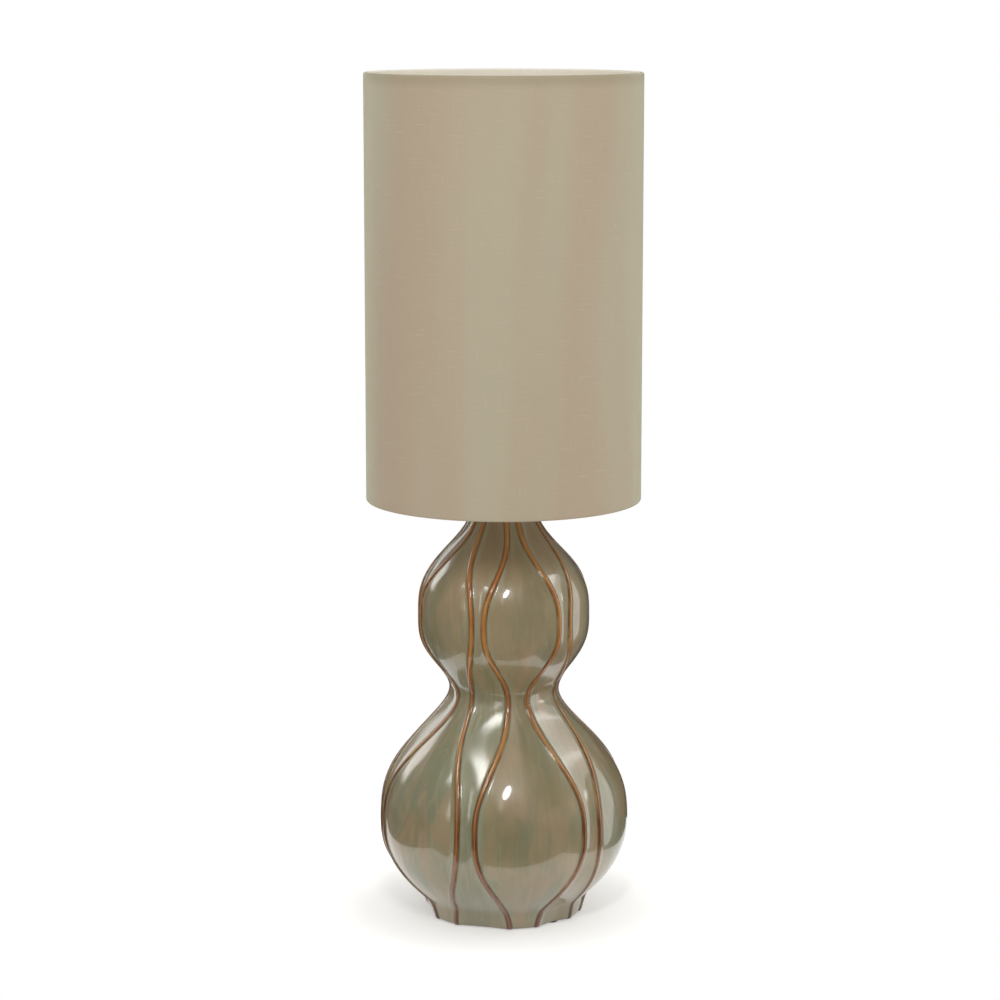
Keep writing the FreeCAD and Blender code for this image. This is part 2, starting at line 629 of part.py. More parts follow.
def fitter_arms():
    """Three bent wire arms from the fitter ring down to the bottom ring, one solid each."""
    level = FITTER_Z + FITTER_T - ARM_R
    outer = HEM_IN_R - ARM_R - SLIP
    foot_z = SHADE_BOTTOM + RING_EDGE
    corners = [V(FITTER_OUT_R, 0, level), V(FITTER_OUT_R + ARM_FLAT, 0, level),
               V(outer, 0, foot_z + ARM_DROP_END), V(outer, 0, foot_z)]
    path = bent_path(corners, ARM_BEND_R)
    profile = Part.Wire(Part.makeCircle(ARM_R, corners[0], V(1, 0, 0)))
    arm = path.makePipeShell([profile], True, False)
    return Part.makeCompound([turned_by(arm, a) for a in around(ARM_COUNT, ARM_TURN_DEG)])


def shade_collar():
    """Clamping collar with round grip ribs on its rim."""
    collar = ring(COLLAR_IN_R, COLLAR_OUT_R - COLLAR_RIB_R, COLLAR_Z, COLLAR_Z + COLLAR_H)
    rib = Part.makeCylinder(COLLAR_RIB_R, COLLAR_H, V(COLLAR_OUT_R - COLLAR_RIB_R, 0, COLLAR_Z))
    return collar.fuse([turned_by(rib, a) for a in around(COLLAR_RIBS)]).removeSplitter()


# ---- bulb ---------------------------------------------------------------------------------------
def bulb_outline(inset):
    """Edges of the glass outline, inset from the outside: straight neck, flare, tube and round crown."""
    neck = BULB_NECK_R - inset
    tube = BULB_R - inset
    full_z = FLARE_Z + BULB_FLARE_H
    middle_z = (FLARE_Z + full_z) / 2
    dome_z = BULB_TOP - BULB_R
    flare = Part.BezierCurve()
    flare.setPoles([V(neck, 0, FLARE_Z), V(neck, 0, middle_z), V(tube, 0, middle_z), V(tube, 0, full_z)])
    slant = tube * math.sqrt(0.5)
    crown = Part.Arc(V(tube, 0, dome_z), V(slant, 0, dome_z + slant), V(0, 0, dome_z + tube))
    return [Part.makeLine(V(neck, 0, BULB_CAP_TOP), V(neck, 0, FLARE_Z)), flare.toShape(),
            Part.makeLine(V(tube, 0, full_z), V(tube, 0, dome_z)), crown.toShape()]


def bulb_glass():
    """Thin glass tube, open only where the cap closes it."""
    outside = bulb_outline(0)
    inside = bulb_outline(BULB_GLASS_T)
    foot = Part.makeLine(V(BULB_NECK_R - BULB_GLASS_T, 0, BULB_CAP_TOP), V(BULB_NECK_R, 0, BULB_CAP_TOP))
    crown = Part.makeLine(V(0, 0, BULB_TOP - BULB_GLASS_T), V(0, 0, BULB_TOP))
    outline = Part.Wire(Part.__sortEdges__(outside + inside + [foot, crown]))
    return Part.Face(outline).revolve(V(0, 0, 0), UP, 360)


def bulb_cap():
    """Thin metal screw cap that tapers in to the insulator."""
    foot_in = BULB_CAP_FOOT_R - BULB_CAP_T
    taper_z = BULB_CAP_Z + BULB_CAP_R - BULB_CAP_FOOT_R
    return turned([(foot_in, BULB_CAP_Z), (BULB_CAP_FOOT_R, BULB_CAP_Z), (BULB_CAP_R, taper_z),
                   (BULB_CAP_R, BULB_CAP_TOP), (BULB_CAP_R - BULB_CAP_T, BULB_CAP_TOP),
                   (BULB_CAP_R - BULB_CAP_T, taper_z)])


def bulb_insulator():
    """Insulating cone between the cap and its tip."""
    low = BULB_CAP_Z - BULB_INSULATOR_H
    return turned([(0, low), (BULB_TIP_R + SLIP, low), (BULB_CAP_FOOT_R, BULB_CAP_Z), (0, BULB_CAP_Z)])


def bulb_tip():
    """Domed contact at the foot of the bulb."""
    sphere_r = (BULB_TIP_R ** 2 + BULB_TIP_H ** 2) / (2 * BULB_TIP_H)
    ball = Part.makeSphere(sphere_r, V(0, 0, TIP_Z + sphere_r))
    return ball.common(disc(BULB_TIP_R, TIP_Z, TIP_Z + BULB_TIP_H))


def filament_foot():
    """Height at which the filaments start, on the lower support."""
    return BULB_CAP_TOP + STEM_H / 2


def bulb_stem():
    """Glass stem in the cap's mouth, its centre rod and the two supports that hold the filaments."""
    flare_r = BULB_NECK_R - BULB_GLASS_T - SLIP
    low = BULB_CAP_TOP
    lower = filament_foot()
    upper = lower + FILAMENT_L
    stem = turned([(0, low), (flare_r, low), (flare_r, low + SUPPORT_T), (STEM_R, low + STEM_H / 3),
                   (STEM_R, low + STEM_H - STEM_R), (STEM_ROD_R, low + STEM_H),
                   (STEM_ROD_R, upper), (0, upper)])
    low_support = disc(FILAMENT_RING_R + FILAMENT_R, lower - SUPPORT_T, lower)
    high_support = disc(FILAMENT_RING_R - FILAMENT_LEAN + FILAMENT_R, upper, upper + SUPPORT_T)
    return stem.fuse([low_support, high_support]).removeSplitter()


def bulb_filaments():
    """Straight LED filaments between the two supports, leaning in towards the top."""
    low = filament_foot()
    foot = Part.Wire(Part.makeCircle(FILAMENT_R, V(FILAMENT_RING_R, 0, low), UP))
    head = Part.Wire(Part.makeCircle(FILAMENT_R, V(FILAMENT_RING_R - FILAMENT_LEAN, 0, low + FILAMENT_L), UP))
    stick = Part.makeLoft([foot, head], True, True)
    return Part.makeCompound([turned_by(stick, a) for a in around(FILAMENT_COUNT)])


# ---- the pieces, written out one file each ------------------------------------------------------
def pieces():
    """Every piece of the lamp by its name."""
    lock_z = NUT_LOW_Z + NUT_T
    steel_z = lock_z + LOCK_T
    rubber_z = steel_z + STEEL_T
    hole_r = ROD_R + WASHER_ROOM
    return {
        "gourd_body": gourd_body(),
        "foot_pads": foot_pads(),
        "cord_grommet": cord_grommet(),
        "threaded_rod": threaded_rod(),
        "base_rubber_washer": ring(hole_r, RUBBER_R, rubber_z, RECESS_TOP),
        "base_steel_washer": ring(hole_r, STEEL_R, steel_z, rubber_z),
        "base_lock_washer": spring_washer(lock_z),
        "base_nut": hex_nut(NUT_LOW_Z),
        "neck_gasket": ring(NECK_BORE_R + SPIGOT_ROOM, GASKET_R, BODY_TOP, CAP_Z),
        "neck_cap": neck_cap(),
        "neck_lock_washer": spring_washer(CAP_TOP),
        "neck_nut": hex_nut(NECK_NUT_Z),
        "holder_cap": holder_cap(),
        "holder_grub_screw": holder_grub_screw(),
        "terminal_block": terminal_block(),
        "wire_terminals": wire_terminals(),
        "terminal_screws": terminal_screws(),
        "centre_contact": centre_contact(),
        "side_contact": side_contact(),
        "screw_shell": screw_shell(),
        "holder_shell": holder_shell(),
        "seat_washer": ring(WASHER_IN_R, WASHER_OUT_R, SEAT_Z, FITTER_Z),
        "shade_fabric": shade_fabric(),
        "shade_liner": shade_liner(),
        "shade_top_ring": wire_ring(SHADE_TOP - RING_EDGE),
        "shade_bottom_ring": wire_ring(SHADE_BOTTOM + RING_EDGE),
        "fitter_ring": ring(FITTER_IN_R, FITTER_OUT_R, FITTER_Z, CLAMP_Z),
        "fitter_arms": fitter_arms(),
        "clamp_washer": ring(WASHER_IN_R, WASHER_OUT_R, CLAMP_Z, COLLAR_Z),
        "shade_collar": shade_collar(),
        "bulb_glass": bulb_glass(),
        "bulb_cap": bulb_cap(),
        "bulb_insulator": bulb_insulator(),
        "bulb_tip": bulb_tip(),
        "bulb_stem": bulb_stem(),
        "bulb_filaments": bulb_filaments(),
    }


def main():
    """Build every piece, check that it is a closed solid and write it to its own file."""
    os.makedirs("parts", exist_ok=True)
    for name, shape in pieces().items():
        solids = shape.Solids
        sound = shape.isValid() and solids and all(s.isClosed() and s.Volume > 0 for s in solids)
        shape.exportStep("parts/" + name + ".step")
        print(name, len(solids), "solid(s)", round(shape.Volume, 1), "mm3", "ok" if sound else "NOT SOUND")


main()
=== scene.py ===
"""Double gourd table lamp: fine shapes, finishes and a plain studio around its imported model.

Lengths are in metres in the model's own frame: +Z up, the front faces -Y and the table is at z = 0.
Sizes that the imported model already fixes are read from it; the rest are fields of the classes below.
"""

import functools
import logging
import math
from dataclasses import dataclass
from dataclasses import fields
from enum import Enum
from types import SimpleNamespace
from typing import Any
from typing import Callable
from typing import Optional
from typing import Sequence
from typing import Union

import bmesh
import bpy
from bpy.types import Material
from bpy.types import Mesh
from bpy.types import Node
from bpy.types import NodeTree
from bpy.types import Object
from mathutils import Matrix
from mathutils import Vector


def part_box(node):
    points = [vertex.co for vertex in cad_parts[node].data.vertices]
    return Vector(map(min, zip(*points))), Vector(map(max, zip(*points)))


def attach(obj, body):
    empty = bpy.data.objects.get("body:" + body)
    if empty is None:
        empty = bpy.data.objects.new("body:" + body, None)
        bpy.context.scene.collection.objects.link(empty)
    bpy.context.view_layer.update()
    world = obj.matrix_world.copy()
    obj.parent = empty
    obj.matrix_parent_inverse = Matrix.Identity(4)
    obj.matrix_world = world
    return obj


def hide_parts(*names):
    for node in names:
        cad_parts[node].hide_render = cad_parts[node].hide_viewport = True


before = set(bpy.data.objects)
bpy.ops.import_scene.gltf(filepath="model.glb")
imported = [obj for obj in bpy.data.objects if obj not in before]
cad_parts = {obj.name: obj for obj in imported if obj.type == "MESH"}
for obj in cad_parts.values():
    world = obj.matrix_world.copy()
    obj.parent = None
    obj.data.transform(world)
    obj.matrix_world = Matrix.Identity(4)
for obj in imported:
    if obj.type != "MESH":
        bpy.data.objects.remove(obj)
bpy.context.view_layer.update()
LOG = logging.getLogger("lamp")
MM = 0.001
TURN = 2 * math.pi
QUARTER = math.pi / 2
DEGREE = math.pi / 180
PER_RADIAN = 180 / math.pi

Colour = tuple[float, ...]
Outline = Sequence[Sequence[float]]
Plug = Union[float, Sequence[float], "Term"]
Inputs = dict[Union[str, int], Plug]


def rgb(*screen: int) -> Colour:
    """A colour as a screen shows it, 0 to 255, in the linear values that shaders use."""
    shares = [part / 255 for part in screen]
    return tuple(part / 12.92 if part <= 0.04045 else ((part + 0.055) / 1.055) ** 2.4 for part in shares)


# ---- writing node trees -------------------------------------------------------------------------
def step(operation: str, swapped: bool = False) -> Callable[["Term", Plug], "Term"]:
    """Makes an operator of Term.

    Args:
        operation: the step of arithmetic, whose name is the same for numbers and vectors.
        swapped: whether the other value comes first.

    Returns:
        The operator.
    """
    def write(self: "Term", other: Plug) -> "Term":
        """Writes the step, on vectors where the other value is plain numbers."""
        kind = self.graph.vector if isinstance(other, tuple) else self.graph.math
        return kind(operation, *((other, self) if swapped else (self, other)))
    return write


@dataclass(frozen=True)
class Term:
    """A value on a node's socket that can be used in plain arithmetic."""

    graph: "Graph"
    socket: bpy.types.NodeSocket
    __add__ = __radd__ = step("ADD")
    __mul__ = __rmul__ = step("MULTIPLY")
    __sub__ = step("SUBTRACT")
    __rsub__ = step("SUBTRACT", swapped=True)
    __truediv__ = step("DIVIDE")
    __pow__ = step("POWER")


@dataclass
class Graph:
    """A node tree while it is being written, for shaders and for geometry alike."""

    tree: NodeTree

    @classmethod
    def of(cls, owner: Union[Material, bpy.types.World]) -> "Graph":
        """Empties the tree of a new material or world.

        Args:
            owner: what the tree belongs to.

        Returns:
            The tree, to be written.
        """
        owner.use_nodes = True
        owner.node_tree.nodes.clear()
        return cls(owner.node_tree)

    def plug(self, socket: bpy.types.NodeSocket, value: Plug) -> None:
        """Links a socket to another, or sets its plain value.

        Args:
            socket: where it goes.
            value: what goes in.
        """
        if isinstance(value, Term):
            self.tree.links.new(value.socket, socket)
        elif socket.type == "RGBA":
            socket.default_value = (*value[:3], 1.0)
        else:
            socket.default_value = value

    def node(self, kind: str, inputs: Optional[Inputs] = None, **settings: Any) -> Node:
        """Adds one node.

        Args:
            kind: the node's type.
            inputs: what goes into its sockets, by name or number.
            **settings: the node's own settings.

        Returns:
            The node.
        """
        made = self.tree.nodes.new(kind)
        for name, value in settings.items():
            setattr(made, name, value)
        for key, value in (inputs or {}).items():
            self.plug(made.inputs[key], value)
        return made

    def out(self, kind: str, inputs: Optional[Inputs] = None, output: Union[str, int] = 0,
            **settings: Any) -> Term:
        """Adds one node and gives one of its outputs."""
        return Term(self, self.node(kind, inputs, **settings).outputs[output])

    def math(self, operation: str, *values: Plug, clamp: bool = False) -> Term:
        """One step of arithmetic."""
        return self.out("ShaderNodeMath", dict(enumerate(values)), operation=operation, use_clamp=clamp)

    def vector(self, operation: str, *values: Plug) -> Term:
        """One step of vector arithmetic, for the operations that give a vector."""
        return self.out("ShaderNodeVectorMath", dict(enumerate(values)), operation=operation)

    def joined(self, *parts: Plug) -> Term:
        """Three numbers as a vector."""
        return self.out("ShaderNodeCombineXYZ", dict(enumerate(parts)))

    def parts(self, vector: Plug) -> list[Term]:
        """The three numbers of a vector."""
        return [Term(self, part) for part in self.node("ShaderNodeSeparateXYZ", {0: vector}).outputs]

    def away(self, x: Term, y: Term) -> Term:
        """Distance from the upright axis."""
        return self.math("SQRT", x * x + y * y)

    def clamped(self, value: Plug) -> Term:
        """A number kept between 0 and 1."""
        return self.math("ADD", value, 0.0, clamp=True)

    def lift(self, value: Plug, low: float, high: float) -> Term:
        """A smooth step: 0 below low and 1 above high, or the other way round if low is the larger."""
        return self.out("ShaderNodeMapRange", {0: value, 1: low, 2: high}, interpolation_type="SMOOTHSTEP")

    def eased(self, value: Term, start: Plug, end: Plug, delay: Plug, steepness: Plug = 1.0) -> Term:
        """A smooth step from start to end that a larger delay starts later and steepness holds low."""
        t = self.clamped((value - start) / (end - start)) ** delay
        return (t * t * (3.0 - t * 2.0)) ** steepness

    def place(self) -> Term:
        """Where on the object a point is."""
        return self.out("ShaderNodeTexCoord", output="Object")

    def noise(self, vector: Plug, detail: float = 2.0, rough: float = 0.5, warp: float = 0.0,
              scale: float = 1.0) -> Term:
        """Smooth noise round 0.5."""
        return self.out("ShaderNodeTexNoise", {"Vector": vector, "Scale": scale, "Detail": detail,
                                               "Roughness": rough, "Distortion": warp})

    def blend(self, share: Plug, first: Plug, second: Plug, how: str = "MIX") -> Term:
        """Mixes two colours, where share is how much of the second there is, 0 to 1."""
        return self.out("ShaderNodeMix", {0: share, 6: first, 7: second}, 2, data_type="RGBA",
                        blend_type=how, clamp_factor=True)

    def layered(self, colour: Plug, layers: Sequence[tuple[Plug, Plug]]) -> Plug:
        """Lays colours over a first one.

        Args:
            colour: the first colour.
            layers: the share that each further colour covers, and that colour.

        Returns:
            The colour that shows.
        """
        for share, paint in layers:
            colour = self.blend(share, colour, paint)
        return colour

    def bump(self, height: Plug, depth: float) -> Term:
        """A normal bumped by a height between 0 and 1 that stands for depth metres."""
        return self.out("ShaderNodeBump", {"Height": height, "Distance": depth, "Strength": 1.0})

    def named(self, name: str, kind: str = "FLOAT_VECTOR") -> Term:
        """An attribute of a mesh in a geometry tree."""
        return self.out("GeometryNodeInputNamedAttribute", {"Name": name}, data_type=kind)

    def group(self, tree: NodeTree, **inputs: Plug) -> SimpleNamespace:
        """Places a shader group and gives its outputs by plain name."""
        made = self.node("ShaderNodeGroup", {title(key): value for key, value in inputs.items()},
                         node_tree=tree)
        return SimpleNamespace(**{socket.name.lower(): Term(self, socket) for socket in made.outputs})


class Kind(Enum):
    """The kinds of socket that this file's groups have."""

    NUMBER = "NodeSocketFloat"
    COUNT = "NodeSocketInt"
    VECTOR = "NodeSocketVector"
    SHAPE = "NodeSocketGeometry"
    FINISH = "NodeSocketMaterial"


def title(name: str) -> str:
    """A socket's title for a plain name."""
    return name.replace("_", " ").title()


def numbers(*names: str) -> dict[str, Kind]:
    """Sockets that all hold a number."""
    return {name: Kind.NUMBER for name in names}


class Group(Graph):
    """A node group with named inputs and outputs."""

    def __init__(self, name: str, family: str, inputs: dict[str, Kind], outputs: dict[str, Kind]) -> None:
        """Starts the group.

        Args:
            name: the group's name.
            family: its tree type.
            inputs: its inputs' kinds by plain name.
            outputs: its outputs' kinds by plain name.
        """
        super().__init__(bpy.data.node_groups.new(name, family))
        for way, sockets in (("INPUT", inputs), ("OUTPUT", outputs)):
            for key, kind in sockets.items():
                self.tree.interface.new_socket(name=title(key), in_out=way, socket_type=kind.value)
        source = self.node("NodeGroupInput")
        self.given = SimpleNamespace(**{key: Term(self, source.outputs[title(key)]) for key in inputs})

    def close(self, **results: Plug) -> NodeTree:
        """Plugs what the group puts out and gives the finished tree."""
        self.node("NodeGroupOutput", {title(key): value for key, value in results.items()})
        return self.tree


# ---- shader groups that several finishes share, each built once -----------------------------------
@functools.cache
def fine_grain() -> NodeTree:
    """Fine grain from two sizes of noise.

    Returns:
        A group that gives a height for bumps and a mask for tone.
    """
    g = Group("fine grain", "ShaderNodeTree", {"place": Kind.VECTOR, **numbers("grain_size")},
              numbers("height", "tone"))
    place = g.vector("DIVIDE", g.given.place, g.joined(*[g.given.grain_size] * 3))
    fine = g.noise(place, 3.0, 0.6)
    wide = g.noise(place, scale=0.11)
    return g.close(height=fine * 0.75 + wide * 0.25, tone=g.clamped((fine * 0.35 + wide * 0.65 - 0.3) * 2.5))


@functools.cache
def turning_marks() -> NodeTree:
    """Rings that a lathe leaves round the upright axis.

    Returns:
        A group that gives their height and the patches where hands have dulled them.
    """
    g = Group("turning marks", "ShaderNodeTree", {"place": Kind.VECTOR, **numbers("ring_width")},
              numbers("height", "dulled"))
    x, y, z = g.parts(g.given.place)
    away = g.away(x, y)
    rings = g.joined((away + z * 0.7) / g.given.ring_width, (z - away) / g.given.ring_width, 0.0)
    dulled = g.noise(g.given.place, 3.0, 0.55, 0.4, 140.0)
    return g.close(height=g.noise(rings, 2.0, 0.6), dulled=g.lift(dulled, 0.42, 0.66))


@functools.cache
def plain_weave() -> NodeTree:
    """Plain weave with slubs, on a map whose units are metres of cloth.

    Returns:
        A group that gives the threads' height, the slubs and a mask for tone.
    """
    g = Group("plain weave", "ShaderNodeTree",
              {"cloth": Kind.VECTOR, **numbers("thread_spacing", "slub_length")},
              numbers("height", "slubs", "tone"))
    around, up, _ = g.parts(g.given.cloth)
    across = around / g.given.thread_spacing
    along = up / g.given.thread_spacing
    warp = g.math("SINE", across * math.pi)
    weft = g.math("SINE", along * math.pi)
    cross = g.math("SINE", (across + 1.0) * math.pi / 2)
    over = g.math("SIGN", warp * weft)
    threads = (g.math("ABSOLUTE", warp) + g.math("ABSOLUTE", weft)) * 0.4 + over * 0.08
    lying = g.noise(g.joined(around / g.given.slub_length, along * 0.42, 3.0), 2.0, 0.45)
    standing = g.noise(g.joined(across * 0.42, up / g.given.slub_length, 11.0), 2.0, 0.45)
    slubs = g.lift(lying, 0.62, 0.78) + g.lift(standing, 0.64, 0.8) * 0.8
    fine = g.noise(g.joined(across * 0.5, along * 0.5, 0.0), 2.0, 0.6)
    return g.close(height=threads + slubs * 0.6 + cross * 0.02, slubs=g.clamped(slubs),
                   tone=g.clamped(fine * 0.5 + lying * 0.25 + standing * 0.25))


# ---- finishes -----------------------------------------------------------------------------------
SLOTS = {"red fibre": "fibre", "silk": "shade_silk", "lining": "shade_lining", "painted wire": "frame_wire"}


@dataclass(frozen=True)
class Finish:
    """A finish: the colour and the plain numbers of one shader."""

    name: str
    colour: Colour
    roughness: float = 0.5
    bump: float = 0.0

    @property
    def slot(self) -> str:
        """The material slot name for this finish."""
        return SLOTS.get(self.name, self.name.replace(" ", "_"))

    def material(self) -> Material:
        """The finish as a material, made the first time it is asked for.

        Returns:
            The material.
        """
        name = f"{self.name} finish"
        if name not in bpy.data.materials:
            graph = Graph.of(bpy.data.materials.new(name))
            shader = graph.out("ShaderNodeBsdfPrincipled", self.paint(graph))
            graph.node("ShaderNodeOutputMaterial", {"Surface": shader})
        return bpy.data.materials[name]

    def paint(self, graph: Graph) -> Inputs:
        """Writes the finish's own nodes and gives the shader's inputs; each finish below has its own."""
        raise NotImplementedError


@dataclass(frozen=True)
class Grained(Finish):
    """Felt, rubber, moulded plastic, fibre, porcelain, paper and clay: one colour broken by fine grain."""

    second: Colour = (0.0, 0.0, 0.0)
    grain: float = 0.4 * MM
    contrast: float = 0.5
    sheen: float = 0.0
    coat: float = 0.0

    def paint(self, graph: Graph) -> Inputs:
        """Mixes the two colours by the grain, and roughens where the second one lies.

        Args:
            graph: the material's tree.

        Returns:
            The shader's inputs by name.
        """
        grain = graph.group(fine_grain(), place=graph.place(), grain_size=self.grain)
        return {"Base Color": graph.blend(grain.tone * self.contrast, self.colour, self.second),
                "Roughness": graph.clamped(grain.tone * 0.14 + (self.roughness - 0.07)),
                "Sheen Weight": self.sheen, "Coat Weight": self.coat, "Coat Roughness": 0.08,
                "Normal": graph.bump(grain.height, self.bump)}


@dataclass(frozen=True)
class Turned(Finish):
    """Brass, steel, nickel and zinc: metal with fine turning marks and dulled patches."""

    tarnish: Colour = (0.1, 0.1, 0.1)
    ring: float = 0.12 * MM
    dull: float = 0.2

    def paint(self, graph: Graph) -> Inputs:
        """Darkens and roughens the dulled patches of the metal.

        Args:
            graph: the material's tree.

        Returns:
            The shader's inputs by name.
        """
        marks = graph.group(turning_marks(), place=graph.place(), ring_width=self.ring)
        return {"Base Color": graph.blend(marks.dulled * 0.45, self.colour, self.tarnish), "Metallic": 1.0,
                "Roughness": marks.dulled * self.dull + self.roughness,
                "Normal": graph.bump(marks.height, self.bump)}


@dataclass(frozen=True)
class Clear(Finish):
    """Blown glass."""

    def paint(self, graph: Graph) -> Inputs:
        """Plain glass with a faint unevenness from blowing."""
        return {"Base Color": self.colour, "Roughness": self.roughness, "Transmission Weight": 1.0,
                "IOR": 1.47, "Normal": graph.bump(graph.noise(graph.place(), 1.0, scale=60.0), self.bump)}


@dataclass(frozen=True)
class Glaze(Finish):
    """Glossy reactive glaze: it breaks to amber over the ribs, pools beside them and runs down the lobes."""

    olive: Colour = rgb(130, 120, 84)
    mauve: Colour = rgb(162, 134, 104)
    celadon: Colour = rgb(152, 150, 124)
    amber: Colour = rgb(150, 84, 26)
    ochre: Colour = rgb(166, 112, 46)
    umber: Colour = rgb(98, 42, 6)
    plum: Colour = rgb(108, 58, 30)
    edge: Colour = rgb(78, 42, 14)
    # crest: lighter glaze break along the rib crests, also a painted glint
    crest: Colour = rgb(204, 134, 50)
    moss: Colour = rgb(122, 125, 96)
    # foot: painted highlight, the glaze made paler towards the foot
    foot: Colour = rgb(162, 146, 118)
    # neck: painted shade, darker brown where the lampshade shadows the neck
    neck: Colour = rgb(122, 98, 64)
    vein: Colour = rgb(178, 168, 138)
    streak: Colour = rgb(140, 140, 140)
    coat_roughness: float = 0.085

    def paint(self, graph: Graph) -> Inputs:
        """Lays the colours over each other from the body of the glaze to the ribs, with painted shade near
        the neck, a painted highlight towards the foot and a painted glint along the rib crests.

        Args:
            graph: the material's tree.

        Returns:
            The shader's inputs by name.
        """
        flow = graph.out("ShaderNodeAttribute", output="Vector", attribute_name="glaze_flow")
        off_rib = graph.out("ShaderNodeAttribute", output="Fac", attribute_name="off_rib")
        height = graph.parts(graph.place())[2]
        clouds = flow * (30.0, 30.0, 17.0)
        run = graph.noise(flow * (90.0, 90.0, 15.0), 3.0, 0.5, 0.7)
        cloud = graph.noise(clouds, 3.0, 0.5, 0.9)
        warm = graph.noise(clouds + (7.3, 1.9, 4.1), 2.0, 0.5, 0.6)
        cool = graph.noise(clouds + (2.1, 5.7, 9.4), 3.0, 0.5, 0.8, 0.9)
        cool = graph.lift(cool + run * 0.3, 0.55, 0.77) * graph.lift(height, 330 * MM, 130 * MM)
        streak = graph.noise(flow * (420.0, 420.0, 46.0), 2.0, 0.6, 0.4)
        drip = graph.noise(flow * (90.0, 90.0, 16.0), 1.0, 0.4, 0.7)
        # thin pale swirling lines along the contours of a noise, where the glaze is cool or runs
        line = graph.lift(graph.math("ABSOLUTE", drip - 0.5), 0.04, 0.0) * graph.lift(cool + run, 0.4, 1.2)
        along = graph.noise(flow * (14.0, 14.0, 30.0))
        uneven = graph.noise(flow * (74.0, 74.0, 34.0), 1.0, 0.4, 0.3)
        pooled = graph.lift(off_rib, 9.0, 2.6) * graph.lift(run, 0.35, 0.65)
        belly = graph.lift(height, 150 * MM, 100 * MM)
        waist = graph.lift(graph.math("ABSOLUTE", height - 184 * MM), 26 * MM, 6 * MM)
        dark = graph.lift(off_rib + (run - 0.5) * 1.4, 3.1, 2.1)
        crown = graph.lift(off_rib + (run - 0.5) * 0.8, 2.1, 1.0)
        # lighter line along each rib crest: partly the glaze breaking thin there, partly a painted glint
        crest_break_and_glint = graph.lift(off_rib + (along - 0.5) * 1.6, 0.75, 0.1)
        rib = graph.layered(self.amber, [
            (graph.lift(along, 0.36, 0.56), self.ochre),
            (belly * (graph.lift(along, 0.6, 0.44) * 0.4 + 0.6), self.umber),
            (graph.clamped(graph.lift(height, 55 * MM, 20 * MM) + waist * 0.6), self.plum)])
        body = graph.layered(self.colour, [
            (graph.lift(cloud + run * 0.4, 0.5, 0.95), self.olive),
            (graph.lift(warm + run * 0.25, 0.55, 0.82) * 0.6, self.mauve),
            (cool * 0.8, self.moss),
            # painted shade: darker towards the neck, under the lampshade
            (graph.lift(height, 268 * MM, 318 * MM) * 0.55, self.neck)])
        body = graph.blend(0.2, body, graph.blend(streak, self.streak, (1.0, 1.0, 1.0)), "MULTIPLY")
        colour = graph.layered(body, [
            (pooled * 0.5, self.celadon), (line * 0.16, self.vein),
            # painted highlight: paler towards the foot
            (graph.lift(height, 44 * MM, 8 * MM) * 0.2, self.foot),
            (dark * graph.lift(streak + run, 0.6, 1.15) * 0.85, self.edge),
            (crown * 0.92, rib), (crest_break_and_glint * 0.35, self.crest),
            # darker along the bottom 2 mm of the foot, in the rib-edge colour
            (graph.lift(height, 1.9 * MM, 1.1 * MM) * 0.7, self.edge)])
        return {"Base Color": colour, "Coat Weight": 1.0 - dark * (1.0 - crown) * 0.5,
                "Specular IOR Level": 0.5 - dark * 0.3, "Coat Roughness": self.coat_roughness,
                "Coat IOR": 1.6, "IOR": 1.6, "Roughness": run * 0.2 + self.roughness,
                "Normal": graph.bump(uneven, self.bump)}


@dataclass(frozen=True)
class Silk(Finish):
    """Silk with slubs: a plain weave in soft shot tints, on its own cloth map."""

    green: Colour = rgb(177, 169, 145)
    pink: Colour = rgb(177, 157, 134)
    light: Colour = rgb(200, 190, 167)
    hem: Colour = rgb(158, 146, 120)
    rim: Colour = rgb(214, 222, 196)
    thread: float = 0.38 * MM
    slub: float = 17 * MM
    hem_height: float = 8 * MM

    def paint(self, graph: Graph) -> Inputs:
        """Tints the cloth in wide soft patches, then lays its slubs and the doubled hem on it.

        Args:
            graph: the material's tree.

        Returns:
            The shader's inputs by name.
        """
        cloth = graph.out("ShaderNodeUVMap", uv_map="cloth")
        woven = graph.group(plain_weave(), cloth=cloth, thread_spacing=self.thread, slub_length=self.slub)
        height = graph.parts(graph.place())[2]
        tint = graph.noise((cloth + (-0.012, 0.0, 0.0)) * (13.0, 1.6, 1.0), 2.0, 0.45, 0.2)
        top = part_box("shade_fabric")[1].z
        doubled = graph.lift(height, top - self.hem_height * 1.5, top - self.hem_height * 0.4)
        colour = graph.layered(self.green, [
            (graph.lift(tint, 0.38, 0.62), self.pink), (0.25, self.colour),
            ((woven.tone - 0.4) * 0.5, self.light), (woven.slubs * 0.44, self.light),
            (doubled * 0.6, self.hem)])
        return {"Base Color": colour, "Roughness": 0.78 - woven.slubs * 0.15, "Sheen Weight": 1.0,
                "Sheen Roughness": 0.22, "Sheen Tint": self.rim,
                "Normal": graph.bump(woven.height, self.bump)}


